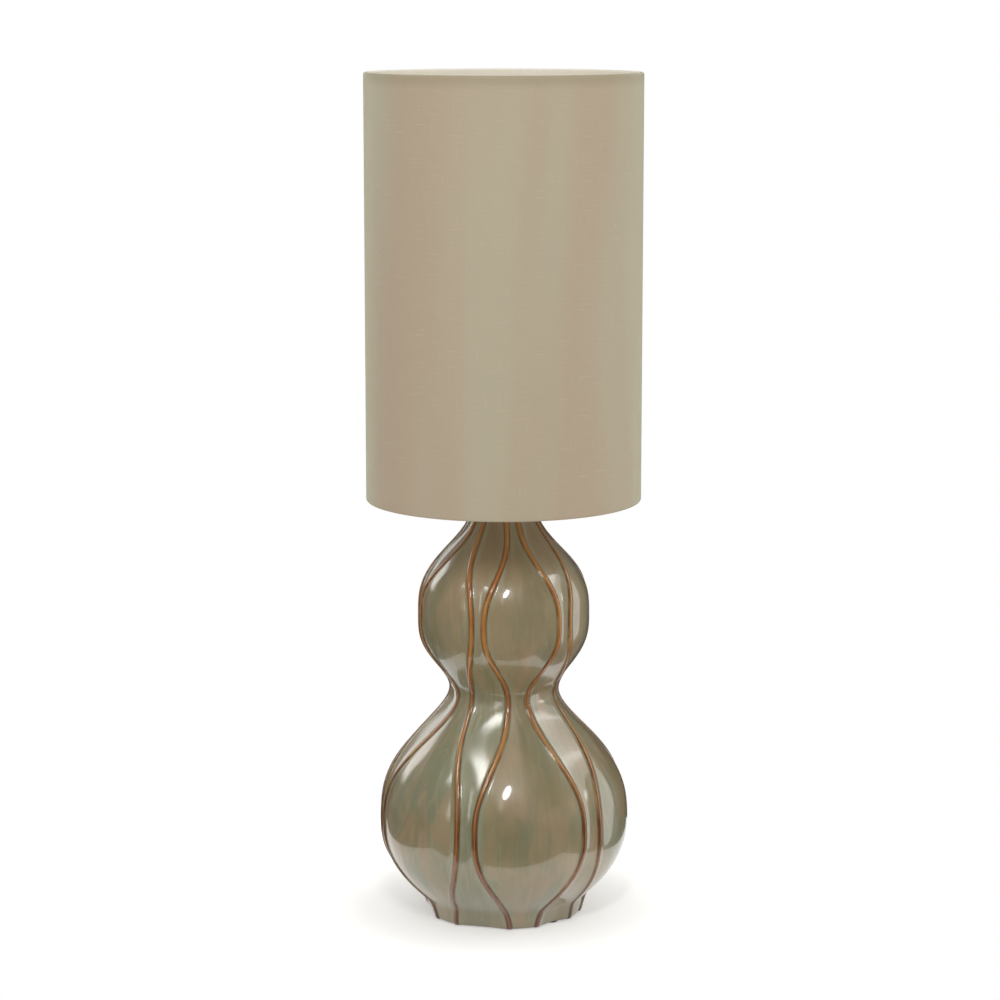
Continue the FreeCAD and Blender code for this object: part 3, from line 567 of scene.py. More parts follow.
GLAZE = Glaze("glaze", rgb(151, 134, 99), 0.3, 1.6 * MM)
CLAY = Grained("bare clay", rgb(196, 184, 164), 0.85, 0.12 * MM, rgb(170, 154, 130), 0.5 * MM)
FELT = Grained("felt", rgb(58, 60, 56), 0.95, 0.3 * MM, rgb(84, 86, 80), 0.3 * MM, sheen=0.6)
RUBBER = Grained("black rubber", rgb(26, 26, 27), 0.62, 0.04 * MM, rgb(44, 44, 45))
MOULDING = Grained("black moulding", rgb(20, 20, 21), 0.3, 0.015 * MM, rgb(34, 33, 33), 0.25 * MM)
PORCELAIN = Grained("porcelain", rgb(232, 229, 220), 0.3, 0.02 * MM, rgb(214, 208, 196), coat=0.6)
FIBRE = Grained("red fibre", rgb(128, 46, 34), 0.66, 0.03 * MM, rgb(92, 34, 28))
SILK = Silk("silk", rgb(178, 164, 140), 0.75, 0.12 * MM)
LINING = Grained("lining", rgb(236, 231, 217), 0.6, 0.02 * MM, rgb(226, 219, 201), 0.6 * MM, 0.6)
WIRE = Grained("painted wire", rgb(230, 228, 220), 0.34, 0.02 * MM, rgb(206, 202, 190), 0.5 * MM, coat=0.3)
BLACK_GLASS = Grained("black glass", rgb(16, 15, 18), 0.12, 0.01 * MM, rgb(30, 28, 34), coat=0.8)
PHOSPHOR = Grained("phosphor", rgb(226, 168, 52), 0.55, 0.06 * MM, rgb(238, 196, 96), 0.35 * MM)
SOLDER = Turned("solder", rgb(176, 176, 180), 0.34, 0.05 * MM, rgb(120, 120, 124), 0.5 * MM)
ZINC = Turned("zinc steel", rgb(186, 190, 196), 0.3, 0.01 * MM, rgb(140, 142, 140))
SATIN_BRASS = Turned("satin brass", rgb(204, 166, 92), 0.3, 0.012 * MM, rgb(146, 106, 52))
BRIGHT_BRASS = Turned("bright brass", rgb(218, 182, 104), 0.18, 0.008 * MM, rgb(160, 116, 60))
NICKEL = Turned("nickel", rgb(206, 202, 194), 0.22, 0.008 * MM, rgb(150, 144, 134))
GLASS = Clear("clear glass", (1.0, 1.0, 1.0), 0.0, 0.02 * MM)


# ---- making meshes ------------------------------------------------------------------------------
def new_object(name: str, data: bpy.types.ID) -> Object:
    """Puts a mesh, light or camera in the scene.

    Args:
        name: the object's name.
        data: what it shows.

    Returns:
        The object.
    """
    made = bpy.data.objects.new(name, data)
    bpy.context.scene.collection.objects.link(made)
    return made


def piece(name: str, mesh: Mesh, finish: Finish, body: str, *nodes: str) -> Object:
    """Puts a piece in the scene with its finish and body, and hides the nodes that it stands for.

    Args:
        name: the piece's name.
        mesh: its shape, in place.
        finish: what it is finished with.
        body: the body that it rides on.
        *nodes: the model's nodes that it replaces.

    Returns:
        The piece.
    """
    mesh.name = name
    if not mesh.materials:
        mesh.materials.append(finish.material())
    obj = new_object(name, mesh)
    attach(obj, body)
    finish.slot
    if nodes:
        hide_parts(*nodes)
    LOG.info("%s: %d faces on %s, %s", name, len(mesh.polygons), body, finish.name)
    return obj


def written(work: bmesh.types.BMesh, name: str = "piece") -> Mesh:
    """Makes a mesh of the one that is being worked on, which is freed.

    Args:
        work: the mesh that is being worked on.
        name: the new mesh's name.

    Returns:
        The new mesh.
    """
    mesh = bpy.data.meshes.new(name)
    work.to_mesh(mesh)
    work.free()
    return mesh


def outward(mesh: Mesh, sharp_deg: float = 40.0) -> Mesh:
    """Merges doubles, points the faces outwards and shades them smooth up to an angle.

    Args:
        mesh: the mesh, changed in place.
        sharp_deg: edges bent by more than this stay sharp.

    Returns:
        The same mesh.
    """
    work = bmesh.new()
    work.from_mesh(mesh)
    bmesh.ops.remove_doubles(work, verts=work.verts, dist=1e-6)
    bmesh.ops.recalc_face_normals(work, faces=work.faces)
    work.to_mesh(mesh)
    work.free()
    mesh.shade_smooth()
    mesh.set_sharp_from_angle(angle=math.radians(sharp_deg))
    return mesh


def quarter_turn(steps: int) -> list[float]:
    """Angles from 0 to a quarter turn."""
    return [QUARTER * k / steps for k in range(steps + 1)]


def rounded(corners: Outline, steps: int) -> Outline:
    """Rounds the corners of a closed outline.

    Args:
        corners: (radius, height) or (radius, height, rounding) in metres.
        steps: how many edges a rounded corner gets.

    Returns:
        The outline's points.
    """
    if all(len(corner) == 2 for corner in corners):
        return corners
    points = []
    for i, corner in enumerate(corners):
        here = Vector(corner[:2])
        if len(corner) == 2:
            points.append((here.x, here.y))
            continue
        back = Vector(corners[i - 1][:2]) - here
        ahead = Vector(corners[(i + 1) % len(corners)][:2]) - here
        reach = min(corner[2], back.length * 0.5, ahead.length * 0.5)
        start = here + back.normalized() * reach
        end = here + ahead.normalized() * reach
        for t in [k / steps for k in range(steps + 1)]:
            point = start * (1 - t) ** 2 + here * 2 * t * (1 - t) + end * t ** 2
            points.append((point.x, point.y))
    return points


def divided(outline: Outline, longest: float) -> Outline:
    """Divides the long edges of a closed outline.

    Args:
        outline: its points.
        longest: the longest that an edge may be, or 0 to leave them all.

    Returns:
        The points of the divided outline.
    """
    points = []
    for first, second in zip(outline, [*outline[1:], outline[0]]):
        count = max(1, math.ceil(math.dist(first, second) / longest)) if longest else 1
        for t in [k / count for k in range(count)]:
            points.append((first[0] + (second[0] - first[0]) * t, first[1] + (second[1] - first[1]) * t))
    return points


def turned(corners: Outline, segments: int, longest: float = 0.0, steps: int = 4,
           sharp_deg: float = 40.0) -> Mesh:
    """Turns a closed outline about the upright axis, with a map in metres round and along it.

    Args:
        corners: (radius, height) or (radius, height, rounding); radius 0 makes a pole.
        segments: faces round the axis.
        longest: the longest edge of the outline, or 0 to leave them all.
        steps: how many edges a rounded corner gets.
        sharp_deg: edges bent by more than this stay sharp.

    Returns:
        The mesh.
    """
    outline = divided(rounded(corners, steps), longest)
    work = bmesh.new()
    cloth = work.loops.layers.uv.new("cloth")
    turns = [TURN * k / segments for k in range(segments)]
    rings = []
    for radius, z in outline:
        if radius < 1e-7:
            rings.append([work.verts.new((0.0, 0.0, z))] * segments)
        else:
            rings.append([work.verts.new((radius * math.sin(a), radius * math.cos(a), z)) for a in turns])
    widest = max(radius for radius, _ in outline)
    start = 0.0
    for i, near in enumerate(rings):
        after = (i + 1) % len(rings)
        far = rings[after]
        end = start + math.dist(outline[i], outline[after])
        for k in range(segments):
            beside = (k + 1) % segments
            spots: dict[bmesh.types.BMVert, tuple[float, float]] = {}
            for vert, turn, along in ((near[k], k, start), (near[beside], k + 1, start),
                                      (far[beside], k + 1, end), (far[k], k, end)):
                spots.setdefault(vert, (turn / segments * 2 * math.pi * widest, along))
            if len(spots) > 2:
                for loop, spot in zip(work.faces.new(list(spots)).loops, spots.values()):
                    loop[cloth].uv = spot
        start = end
    return outward(written(work), sharp_deg)


# ---- geometry trees -----------------------------------------------------------------------------
@dataclass(frozen=True)
class Growth:
    """A geometry tree that shapes a mesh; the fields of each kind of growth are its named inputs."""

    finish: Finish

    @staticmethod
    def write(g: Group) -> Term:
        """Writes the nodes that shape the mesh; each kind of growth below has its own."""
        raise NotImplementedError

    @staticmethod
    def finishes(g: Group) -> list[tuple[Plug, Term]]:
        """Which faces get which finish, from the first to the last."""
        return [(True, g.given.finish)]

    @classmethod
    @functools.cache
    def tree(cls) -> NodeTree:
        """Writes the tree, once for each kind of growth.

        Returns:
            The tree, which ends in real faces with their finish.
        """
        kinds = {Finish: Kind.FINISH, int: Kind.COUNT, float: Kind.NUMBER}
        inputs = {"shape": Kind.SHAPE, **{field.name: kinds[field.type] for field in fields(cls)}}
        g = Group(cls.__name__, "GeometryNodeTree", inputs, {"shape": Kind.SHAPE})
        shape = g.out("GeometryNodeRealizeInstances", {0: cls.write(g)})
        for where, finish in cls.finishes(g):
            shape = g.out("GeometryNodeSetMaterial", {"Geometry": shape, "Selection": where,
                                                      "Material": finish})
        return g.close(shape=shape)

    def grow(self, base: Mesh) -> Mesh:
        """Runs the tree on a mesh.

        Args:
            base: what the tree starts from.

        Returns:
            The plain mesh that comes out.
        """
        carrier = new_object("carrier", base)
        modifier = carrier.modifiers.new("grow", "NODES")
        modifier.node_group = self.tree()
        sizes = {title(name): value for name, value in vars(self).items()}
        for item in modifier.node_group.interface.items_tree:
            if item.in_out == "INPUT" and item.name in sizes:
                value = sizes[item.name]
                modifier[item.identifier] = value.material() if isinstance(value, Finish) else value
        bpy.context.view_layer.update()
        graph = bpy.context.evaluated_depsgraph_get()
        mesh = bpy.data.meshes.new_from_object(carrier.evaluated_get(graph), preserve_all_data_layers=True,
                                               depsgraph=graph)
        bpy.data.objects.remove(carrier)
        return mesh


@dataclass(frozen=True)
class RoundTheAxis(Growth):
    """A shape repeated evenly round the upright axis."""

    count: int
    first_turn: float = 0.0

    @staticmethod
    def write(g: Group) -> Term:
        """Puts copies on points at the origin and turns each of them by its number."""
        points = g.out("GeometryNodePoints", {"Count": g.given.count})
        turn = g.out("GeometryNodeInputIndex") * TURN / g.given.count + g.given.first_turn
        return g.out("GeometryNodeInstanceOnPoints", {"Points": points, "Instance": g.given.shape,
                                                      "Rotation": g.joined(0.0, 0.0, turn)})


@dataclass(frozen=True)
class BentWire(Growth):
    """A round wire with rolled bends along the edges of a path."""

    wire_radius: float
    bend_radius: float

    @staticmethod
    def write(g: Group) -> Term:
        """Rounds the corners of the path and draws a circle along it."""
        path = g.out("GeometryNodeMeshToCurve", {0: g.given.shape})
        bent = g.out("GeometryNodeFilletCurve", {
            "Curve": path, "Count": 10, "Radius": g.given.bend_radius, "Limit Radius": True}, mode="POLY")
        circle = g.out("GeometryNodeCurvePrimitiveCircle", {"Resolution": 20, "Radius": g.given.wire_radius})
        return g.out("GeometryNodeCurveToMesh", {"Curve": bent, "Profile Curve": circle, "Fill Caps": True})


@dataclass(frozen=True)
class Thread(Growth):
    """A thread cut or rolled into the outside of a turned shape, between two heights."""

    pitch: float
    depth: float
    low: float
    high: float
    inner_radius: float
    roundness: float

    @staticmethod
    def write(g: Group) -> Term:
        """Sinks the outside along a helix, with a run-in of one pitch at either end.

        Args:
            g: the tree.

        Returns:
            The threaded shape.
        """
        s = g.given
        x, y, z = g.parts(g.out("GeometryNodeInputPosition"))
        away = g.away(x, y)
        wave = g.math("COSINE", (z / s.pitch - g.math("ARCTAN2", y, x) / TURN) * TURN)
        hollow = (0.5 - wave * 0.5) ** s.roundness
        started = g.clamped((z - s.low) / s.pitch)
        ended = g.clamped((s.high - z) / s.pitch)
        outside = g.math("GREATER_THAN", away, s.inner_radius)
        share = (away - hollow * s.depth * started * ended * outside) / g.math("MAXIMUM", away, 1e-6)
        moved = g.joined(x * share, y * share, z)
        return g.out("GeometryNodeSetPosition", {"Geometry": s.shape, "Position": moved})


# ---- the body -----------------------------------------------------------------------------------
@dataclass(frozen=True)
class GourdForm(Growth):
    """The rule that gives a net the form of the lobed double gourd, in millimetres and degrees."""

    foot_radius: float = 63.0
    ankle_radius: float = 66.1
    belly_radius: float = 99.2
    waist_radius: float = 43.1
    crown_radius: float = 68.0
    neck_radius: float = 25.5
    ankle_height: float = 15.0
    belly_height: float = 77.7
    waist_height: float = 184.4
    crown_height: float = 244.4
    top_height: float = 332.5
    ankle_flare: float = 2.25
    ankle_softness: float = 0.035
    belly_delay: float = 2.31
    belly_steepness: float = 0.57
    waist_delay: float = 1.77
    waist_steepness: float = 0.75
    neck_delay: float = 0.72
    neck_steepness: float = 2.85
    pinch_half_angle: float = 10.2
    lobe_half_angle: float = 26.7
    lobe_bulge: float = 0.02
    gap_sink: float = 0.05
    gap_hollow: float = 0.07
    gap_hollow_width: float = 12.0
    swell_belly: float = 88.0
    swell_waist: float = 181.5
    swell_crown: float = 245.5
    swell_neck: float = 316.0
    rib_half_width: float = 2.5
    rib_height: float = 1.5
    wall: float = 5.0
    cord_turn: float = -22.25
    cord_height: float = 11.0
    hole_radius: float = 5.2
    seat_radius: float = 8.3
    seat_distance: float = 59.5
    clay: Finish = CLAY

    @staticmethod
    def radius(g: Group, z: Term) -> Term:
        """Radius of the turned form at a height, before lobes and ribs.

        Args:
            g: the tree.
            z: the height.

        Returns:
            The radius.
        """
        s = g.given
        foot = (s.ankle_radius - s.foot_radius) * g.clamped(z / s.ankle_height)
        above = (z - s.ankle_height) / (s.belly_height - s.ankle_height)
        above = (above + g.math("SQRT", above * above + s.ankle_softness * s.ankle_softness)) * 0.5
        belly = (s.belly_radius - s.ankle_radius) * (1.0 - g.clamped(1.0 - above) ** s.ankle_flare)
        fall = g.eased(z, s.belly_height, s.waist_height, s.belly_delay, s.belly_steepness)
        rise = g.eased(z, s.crown_height, s.waist_height, s.waist_delay, s.waist_steepness)
        neck = g.eased(z, s.crown_height, s.top_height, s.neck_delay, s.neck_steepness)
        return (s.foot_radius + foot + belly - (s.belly_radius - s.waist_radius) * fall
                + (s.crown_radius - s.waist_radius) * (1.0 - rise)
                - (s.crown_radius - s.neck_radius) * neck)

    @staticmethod
    def swell(g: Group, z: Term) -> Term:
        """How full the lobes are at a height: 1 at belly and crown, 0 at foot, waist and neck.

        Args:
            g: the tree.
            z: the height.

        Returns:
            The share.
        """
        s = g.given
        foot = g.eased(z, s.swell_belly, 0.0, 1.5)
        belly = g.eased(z, s.swell_belly, s.swell_waist, 1.33)
        crown = g.eased(z, s.swell_crown, s.swell_waist, 1.3)
        neck = g.eased(z, s.swell_crown, s.swell_neck, 1.35)
        return 2.0 - foot - belly - crown - neck

    @staticmethod
    def edge(g: Group, side: str, z: Term, full: Term, half: Term, foot_deg: Term) -> tuple[Term, Term]:
        """Where one edge of a panel or rib is at a height.

        Args:
            g: the tree.
            side: the edge's letter, a or b.
            z: the height.
            full: how full the lobes are there.
            half: half of a lobe's angle there, in degrees.
            foot_deg: half of a rib's angle there, in degrees.

        Returns:
            Its azimuth in degrees and the third number that it carries.
        """
        at_foot, at_full, at_waist = g.parts(g.named("lobe_" + side))
        way, feet, third = g.parts(g.named("edge_" + side))
        narrow = at_waist + (at_foot - at_waist) * g.math("LESS_THAN", z, g.given.swell_belly)
        return narrow + (at_full - narrow) * full + way * half + feet * foot_deg, third

    @staticmethod
    def cutter(g: Group, radius: Term, begin: Plug) -> Term:
        """A cylinder that points backwards through the foot.

        Args:
            g: the tree.
            radius: its radius.
            begin: how far off the axis it begins.

        Returns:
            The cylinder.
        """
        length = 30.0
        bar = g.out("GeometryNodeMeshCylinder", {"Vertices": 64, "Radius": radius * MM,
                                                 "Depth": length * MM})
        middle = g.joined(0.0, g.math("ADD", begin, length / 2) * MM, g.given.cord_height * MM)
        laid = g.out("GeometryNodeTransform", {"Geometry": bar, "Rotation": (QUARTER, 0.0, 0.0),
                                               "Translation": middle})
        turn = g.joined(0.0, 0.0, g.given.cord_turn * DEGREE)
        return g.out("GeometryNodeTransform", {"Geometry": laid, "Rotation": turn})

    @staticmethod
    def finishes(g: Group) -> list[tuple[Plug, Term]]:
        """Glaze all over, then bare clay under the foot."""
        bare = g.math("GREATER_THAN", g.named("bared", "FLOAT"), 0.5)
        return [(True, g.given.finish), (bare, g.given.clay)]

    @classmethod
    def write(cls, g: Group) -> Term:
        """Moves the net's points to their places, keeps what the glaze reads and drills the cord's hole.

        Args:
            g: the tree.

        Returns:
            The shape of the body.
        """
        s = g.given
        height, rule, inset = g.parts(g.named("row"))
        lathe, plain, hollow = g.parts(g.named("turned"))
        kind = g.named("kind", "FLOAT")
        radius = cls.radius(g, rule)
        full = cls.swell(g, rule)
        half = s.pinch_half_angle + (s.lobe_half_angle - s.pinch_half_angle) * full
        foot_deg = s.rib_half_width / radius * PER_RADIAN
        left, share = cls.edge(g, "a", rule, full, half, foot_deg)
        right, bead = cls.edge(g, "b", rule, full, half, foot_deg)
        turn = (left + (right - left) * share) * DEGREE
        lobe = g.math("GREATER_THAN", kind, 0.5)
        gap = g.math("LESS_THAN", kind, -0.5)
        rib = 1.0 - lobe - gap
        flat = (1.0 - full) * (1.0 - full)
        width = (right - left) * DEGREE * radius
        hollow_width = g.math("MINIMUM", width, s.gap_hollow_width)
        rise = (lobe * s.lobe_bulge * full - gap * s.gap_sink * flat) * radius
        rise = (rise - gap * s.gap_hollow * hollow_width) * share * (1.0 - share) * 4.0
        stand = g.clamped(1.0 - bead * bead) ** 0.72 * s.rib_height * rib
        skin = radius + rise + stand - inset
        bore = lathe + (radius * (1.0 - s.gap_sink) - s.wall - lathe) * hollow
        away = skin + (bore - skin) * plain
        sine = g.math("SINE", turn)
        cosine = g.math("COSINE", turn)
        place = g.joined(away * sine, away * cosine * -1.0, height) * (MM, MM, MM)
        near = g.math("MINIMUM", share, 1.0 - share)
        off_rib = g.math("ABSOLUTE", bead) * s.rib_half_width * rib
        off_rib = off_rib + (s.rib_half_width + near * width) * (1.0 - rib)
        flow = g.joined(sine * (90 * MM), cosine * (90 * MM), rule * MM)
        bared = g.math("GREATER_THAN", plain, 0.5) * g.math("LESS_THAN", height, 150.0)
        shape = g.out("GeometryNodeSetPosition", {"Geometry": s.shape, "Position": place})
        for name, value, sort in (("glaze_flow", flow, "FLOAT_VECTOR"), ("off_rib", off_rib, "FLOAT"),
                                  ("bared", bared, "FLOAT")):
            shape = g.out("GeometryNodeStoreNamedAttribute", {
                "Geometry": shape, "Name": name, "Value": value}, data_type=sort, domain="POINT")
        cut = g.node("GeometryNodeMeshBoolean", {0: shape}, operation="DIFFERENCE")
        g.plug(cut.inputs[1], cls.cutter(g, s.hole_radius, 40.0))
        g.plug(cut.inputs[1], cls.cutter(g, s.seat_radius, s.seat_distance))
        return Term(g, cut.outputs[0])


@dataclass
class GourdBody:
    """The ceramic body: its lobed skin, rims, hollow foot and neck in one closed shell, in millimetres.

    A lobe is the azimuth of its middle at the foot, at its fullest and at the waist, in degrees.
    """

    form: GourdForm = GourdForm(GLAZE)
    lobes: tuple[tuple[float, float, float], ...] = (
        (14.5, 13.4, 15.0), (67.6, 77.0, 79.0), (127.0, 135.7, 133.0), (188.5, 193.6, 190.5),
        (249.5, 251.5, 250.0), (313.0, 311.6, 314.5))
    rib_steps: int = 8
    lobe_steps: int = 22
    gap_steps: int = 12
    skin_rows: int = 186
    inner_rows: int = 14
    foot_round: float = 1.4
    rim_round: float = 1.2
    pad: float = 0.8
    recess_radius: float = 47.0
    recess_top: float = 19.3
    floor_top: float = 25.3
    rod_hole: float = 6.0
    neck_bore: float = 17.0
    lip_low: float = 322.5

    def columns(self) -> list[dict[str, tuple[float, ...]]]:
        """Finds every upright line of the net.

        Returns:
            The two edges that each line lies between, its share of the way and its kind.
        """
        found = []
        ends = [*self.lobes[1:], tuple(angle + 360.0 for angle in self.lobes[0])]
        for lobe, after in zip(self.lobes, ends):
            for side, steps, far in ((-1.0, self.lobe_steps, lobe), (1.0, self.gap_steps, after)):
                for share in [k / self.rib_steps for k in range(self.rib_steps)]:
                    found.append({"lobe_a": lobe, "lobe_b": lobe, "edge_a": (side, -1.0, share),
                                  "edge_b": (side, 1.0, 2 * share - 1), "kind": (0.0,)})
                for share in [k / steps for k in range(steps)]:
                    found.append({"lobe_a": lobe, "lobe_b": far, "edge_a": (side, 1.0, share),
                                  "edge_b": (-side, -1.0, 0.0), "kind": (-side,)})
        return found

    def rows(self) -> list[tuple[float, ...]]:
        """Finds every level of the net: up the skin, over the neck, down the inside and round the foot.

        Returns:
            Height, height for the rule, inset, turned radius, and how turned and how hollow each one is.
        """
        top = self.form.top_height
        foot = self.foot_round
        rim = self.rim_round
        low = self.pad + foot
        high = top - rim
        found = [(self.pad + foot * (1 - math.cos(a)), self.pad, foot * (1 - math.sin(a)), 0.0, 0.0, 0.0)
                 for a in quarter_turn(4)]
        for k in range(1, self.skin_rows):
            z = low + (high - low) * k / self.skin_rows
            found.append((z, z, 0.0, 0.0, 0.0, 0.0))
        found += [(high + rim * math.sin(a), high, rim * (1 - math.cos(a)), 0.0, 0.0, 0.0)
                  for a in quarter_turn(4)]
        inside = [(top, self.neck_bore + rim, 0.0), (high, self.neck_bore, 0.0),
                  (self.lip_low, self.neck_bore, 0.0)]
        for k in range(self.inner_rows + 1):
            inside.append((self.lip_low + (self.floor_top - self.lip_low) * k / self.inner_rows, 0.0, 1.0))
        for z, radius in ((self.floor_top, self.rod_hole), (self.recess_top, self.rod_hole),
                          (self.recess_top, self.recess_radius - 1.0),
                          (self.recess_top - 1.0, self.recess_radius), (low, self.recess_radius),
                          (self.pad, self.recess_radius + foot)):
            inside.append((z, radius, 0.0))
        return found + [(z, z, 0.0, radius, 1.0, hollow) for z, radius, hollow in inside]

    def net(self) -> Mesh:
        """Makes the plain net: a closed grid of points that carry where they belong.

        Returns:
            The net.
        """
        columns = self.columns()
        rows = self.rows()
        wide = len(columns)
        count = wide * len(rows)
        faces = []
        for below in range(0, count, wide):
            above = (below + wide) % count
            for c in range(wide):
                after = (c + 1) % wide
                faces.append((below + c, below + after, above + after, above + c))
        mesh = bpy.data.meshes.new("gourd_net")
        mesh.from_pydata([(0.0, 0.0, 0.0)] * count, [], faces)
        for name in columns[0]:
            self.store(mesh, name, [column[name] for column in columns] * len(rows))
        self.store(mesh, "row", [row[:3] for row in rows for _ in columns])
        self.store(mesh, "turned", [row[3:] for row in rows for _ in columns])
        return mesh

    def store(self, mesh: Mesh, name: str, values: Sequence[tuple[float, ...]]) -> None:
        """Stores one or three numbers on every point of a mesh.

        Args:
            mesh: the mesh.
            name: the attribute's name.
            values: the numbers of each point.
        """
        kind, part = ("FLOAT_VECTOR", "vector") if len(values[0]) == 3 else ("FLOAT", "value")
        made = mesh.attributes.new(name, kind, "POINT")
        made.data.foreach_set(part, [number for value in values for number in value])

    def build(self) -> None:
        """Builds the body and stands it in for its node."""
        mesh = self.form.grow(self.net())
        for name in ("lobe_a", "lobe_b", "edge_a", "edge_b", "row", "turned", "kind", "bared"):
            mesh.attributes.remove(mesh.attributes[name])
        piece("ceramic_gourd", outward(mesh, 62.0), GLAZE, "base", "gourd_body")


# ---- fittings under the foot and at the neck ------------------------------------------------------
def node_size(node: str) -> tuple[float, float, float]:
    """Outer radius, lowest and highest point of a round node on the lamp's axis."""
    low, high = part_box(node)
    return (high.x - low.x) / 2, low.z, high.z


def flat_ring(node: str, name: str, inner: float, edge: float, finish: Finish, body: str) -> None:
    """Builds a flat ring with softened edges in the place of a node.

    Args:
        node: the node that it replaces and takes its place from.
        name: the piece's name.
        inner: radius of its hole.
        edge: rounding of its edges.
        finish: its finish.
        body: the body that it rides on.
    """
    outer, low, high = node_size(node)
    corners = [(inner, low, edge), (outer, low, edge), (outer, high, edge), (inner, high, edge)]
    piece(name, turned(corners, 128), finish, body, node)


def dress(finish: Finish, *nodes: str) -> None:
    """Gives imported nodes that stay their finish.

    Args:
        finish: the finish.
        *nodes: the nodes.
    """
    for node in nodes:
        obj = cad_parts[node]
        if not obj.material_slots:
            obj.data.materials.append(None)
        for part in obj.material_slots:
            part.material = finish.material()
        LOG.info("%s: packed node, %s", node, finish.name)


@dataclass
class Fittings:
    """Pads, bush, rod and cap: what the ceramic stands on and is clamped by."""

    pad_count: int = 4
    pad_ring: float = 53.8 * MM
    pad_radius: float = 5.5 * MM
    rod_bore: float = 3.9 * MM
    rod_pitch: float = 1.0 * MM
    rod_depth: float = 0.55 * MM
    rod_chamfer: float = 0.6 * MM
    rod_ends: float = 16 * MM
    cord_bore: float = 3.6 * MM
    bush_inner: float = 45.1 * MM
    bush_shoulder: float = 46.5 * MM
    bush_seat: float = 59.5 * MM
    bush_lip: float = 1.6 * MM
    bush_plug_radius: float = 6.1 * MM
    bush_neck_radius: float = 5.1 * MM
    bush_head_radius: float = 7.5 * MM
    spigot: float = 16.5 * MM
    spigot_wall: float = 2.0 * MM

    def build(self, form: GourdForm) -> None:
        """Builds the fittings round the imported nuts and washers, which stay.

        Args:
            form: the body, which tells where the cord hole is.
        """
        self.pads()
        self.rod()
        self.bush(math.radians(form.cord_turn), form.cord_height * MM)
        self.neck_cap()
        dress(RUBBER, "base_rubber_washer")
        dress(ZINC, "base_steel_washer", "base_lock_washer", "base_nut", "neck_lock_washer")
        dress(FIBRE, "neck_gasket")
        dress(SATIN_BRASS, "neck_nut")

    def pads(self) -> None:
        """Four felt pads with a soft worn rim."""
        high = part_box("foot_pads")[1].z
        pad = turned([(0.0, 0.0), (self.pad_radius, 0.0, 0.3 * MM), (self.pad_radius, high, 0.2 * MM),
                      (0.0, high)], 40, 0.8 * MM)
        pad.transform(Matrix.Translation((self.pad_ring, 0.0, 0.0)))
        mesh = RoundTheAxis(FELT, self.pad_count, math.pi / 4).grow(pad)
        piece("felt_pads", mesh, FELT, "base", "foot_pads")

    def rod(self) -> None:
        """The hollow rod, threaded where it shows at either end."""
        outer, low, high = node_size("threaded_rod")
        step = self.rod_pitch / 8
        count = int(self.rod_ends / step)
        rows = [(self.rod_bore, low), (outer - self.rod_chamfer, low), (outer, low + self.rod_chamfer)]
        rows += [(outer, low + self.rod_chamfer + step * k) for k in range(1, count)]
        rows += [(outer, high - self.rod_chamfer - step * k) for k in range(count, -1, -1)]
        rows += [(outer - self.rod_chamfer, high), (self.rod_bore, high)]
        thread = Thread(ZINC, self.rod_pitch, self.rod_depth, low, high, outer - 0.1 * MM, 1.0)
        piece("hollow_threaded_rod", thread.grow(turned(rows, 48, sharp_deg=30.0)), ZINC, "base",
              "threaded_rod")

    def bush(self, turn: float, height: float) -> None:
        """The rubber bush in the cord hole, turned about its own axis and then laid in the foot wall.

        Args:
            turn: where the hole is, in radians from straight back.
            height: how high it is.
        """
        seat = self.bush_seat
        top = seat + self.bush_lip
        plug = self.bush_plug_radius
        neck = self.bush_neck_radius
        head = self.bush_head_radius
        mesh = turned([
            (self.cord_bore, self.bush_inner, 0.4 * MM), (plug, self.bush_inner, 0.6 * MM),
            (plug, self.bush_shoulder, 0.2 * MM), (neck, self.bush_shoulder), (neck, seat),
            (head, seat, 0.2 * MM), (head, top, 0.8 * MM), (self.cord_bore, top, 0.7 * MM)], 64)
        mesh.transform(Matrix.Rotation(turn, 4, "Z") @ Matrix.Translation((0.0, 0.0, height))
                       @ Matrix.Rotation(-QUARTER, 4, "X"))
        piece("rubber_cord_bush", mesh, RUBBER, "base", "cord_grommet")

    def neck_cap(self) -> None:
        """The turned brass cap with its spigot in the neck."""
        outer, low, high = node_size("neck_cap")
        plate = high - 3 * MM
        hole = 5.0 * MM
        inside = self.spigot - self.spigot_wall
        corners = [(hole, plate), (inside, plate), (inside, low), (self.spigot, low, 0.4 * MM),
                   (self.spigot, plate), (outer, plate, 0.3 * MM), (outer, high, 1.2 * MM),
                   (hole, high, 0.3 * MM)]
        piece("turned_neck_cap", turned(corners, 128), SATIN_BRASS, "base", "neck_cap")


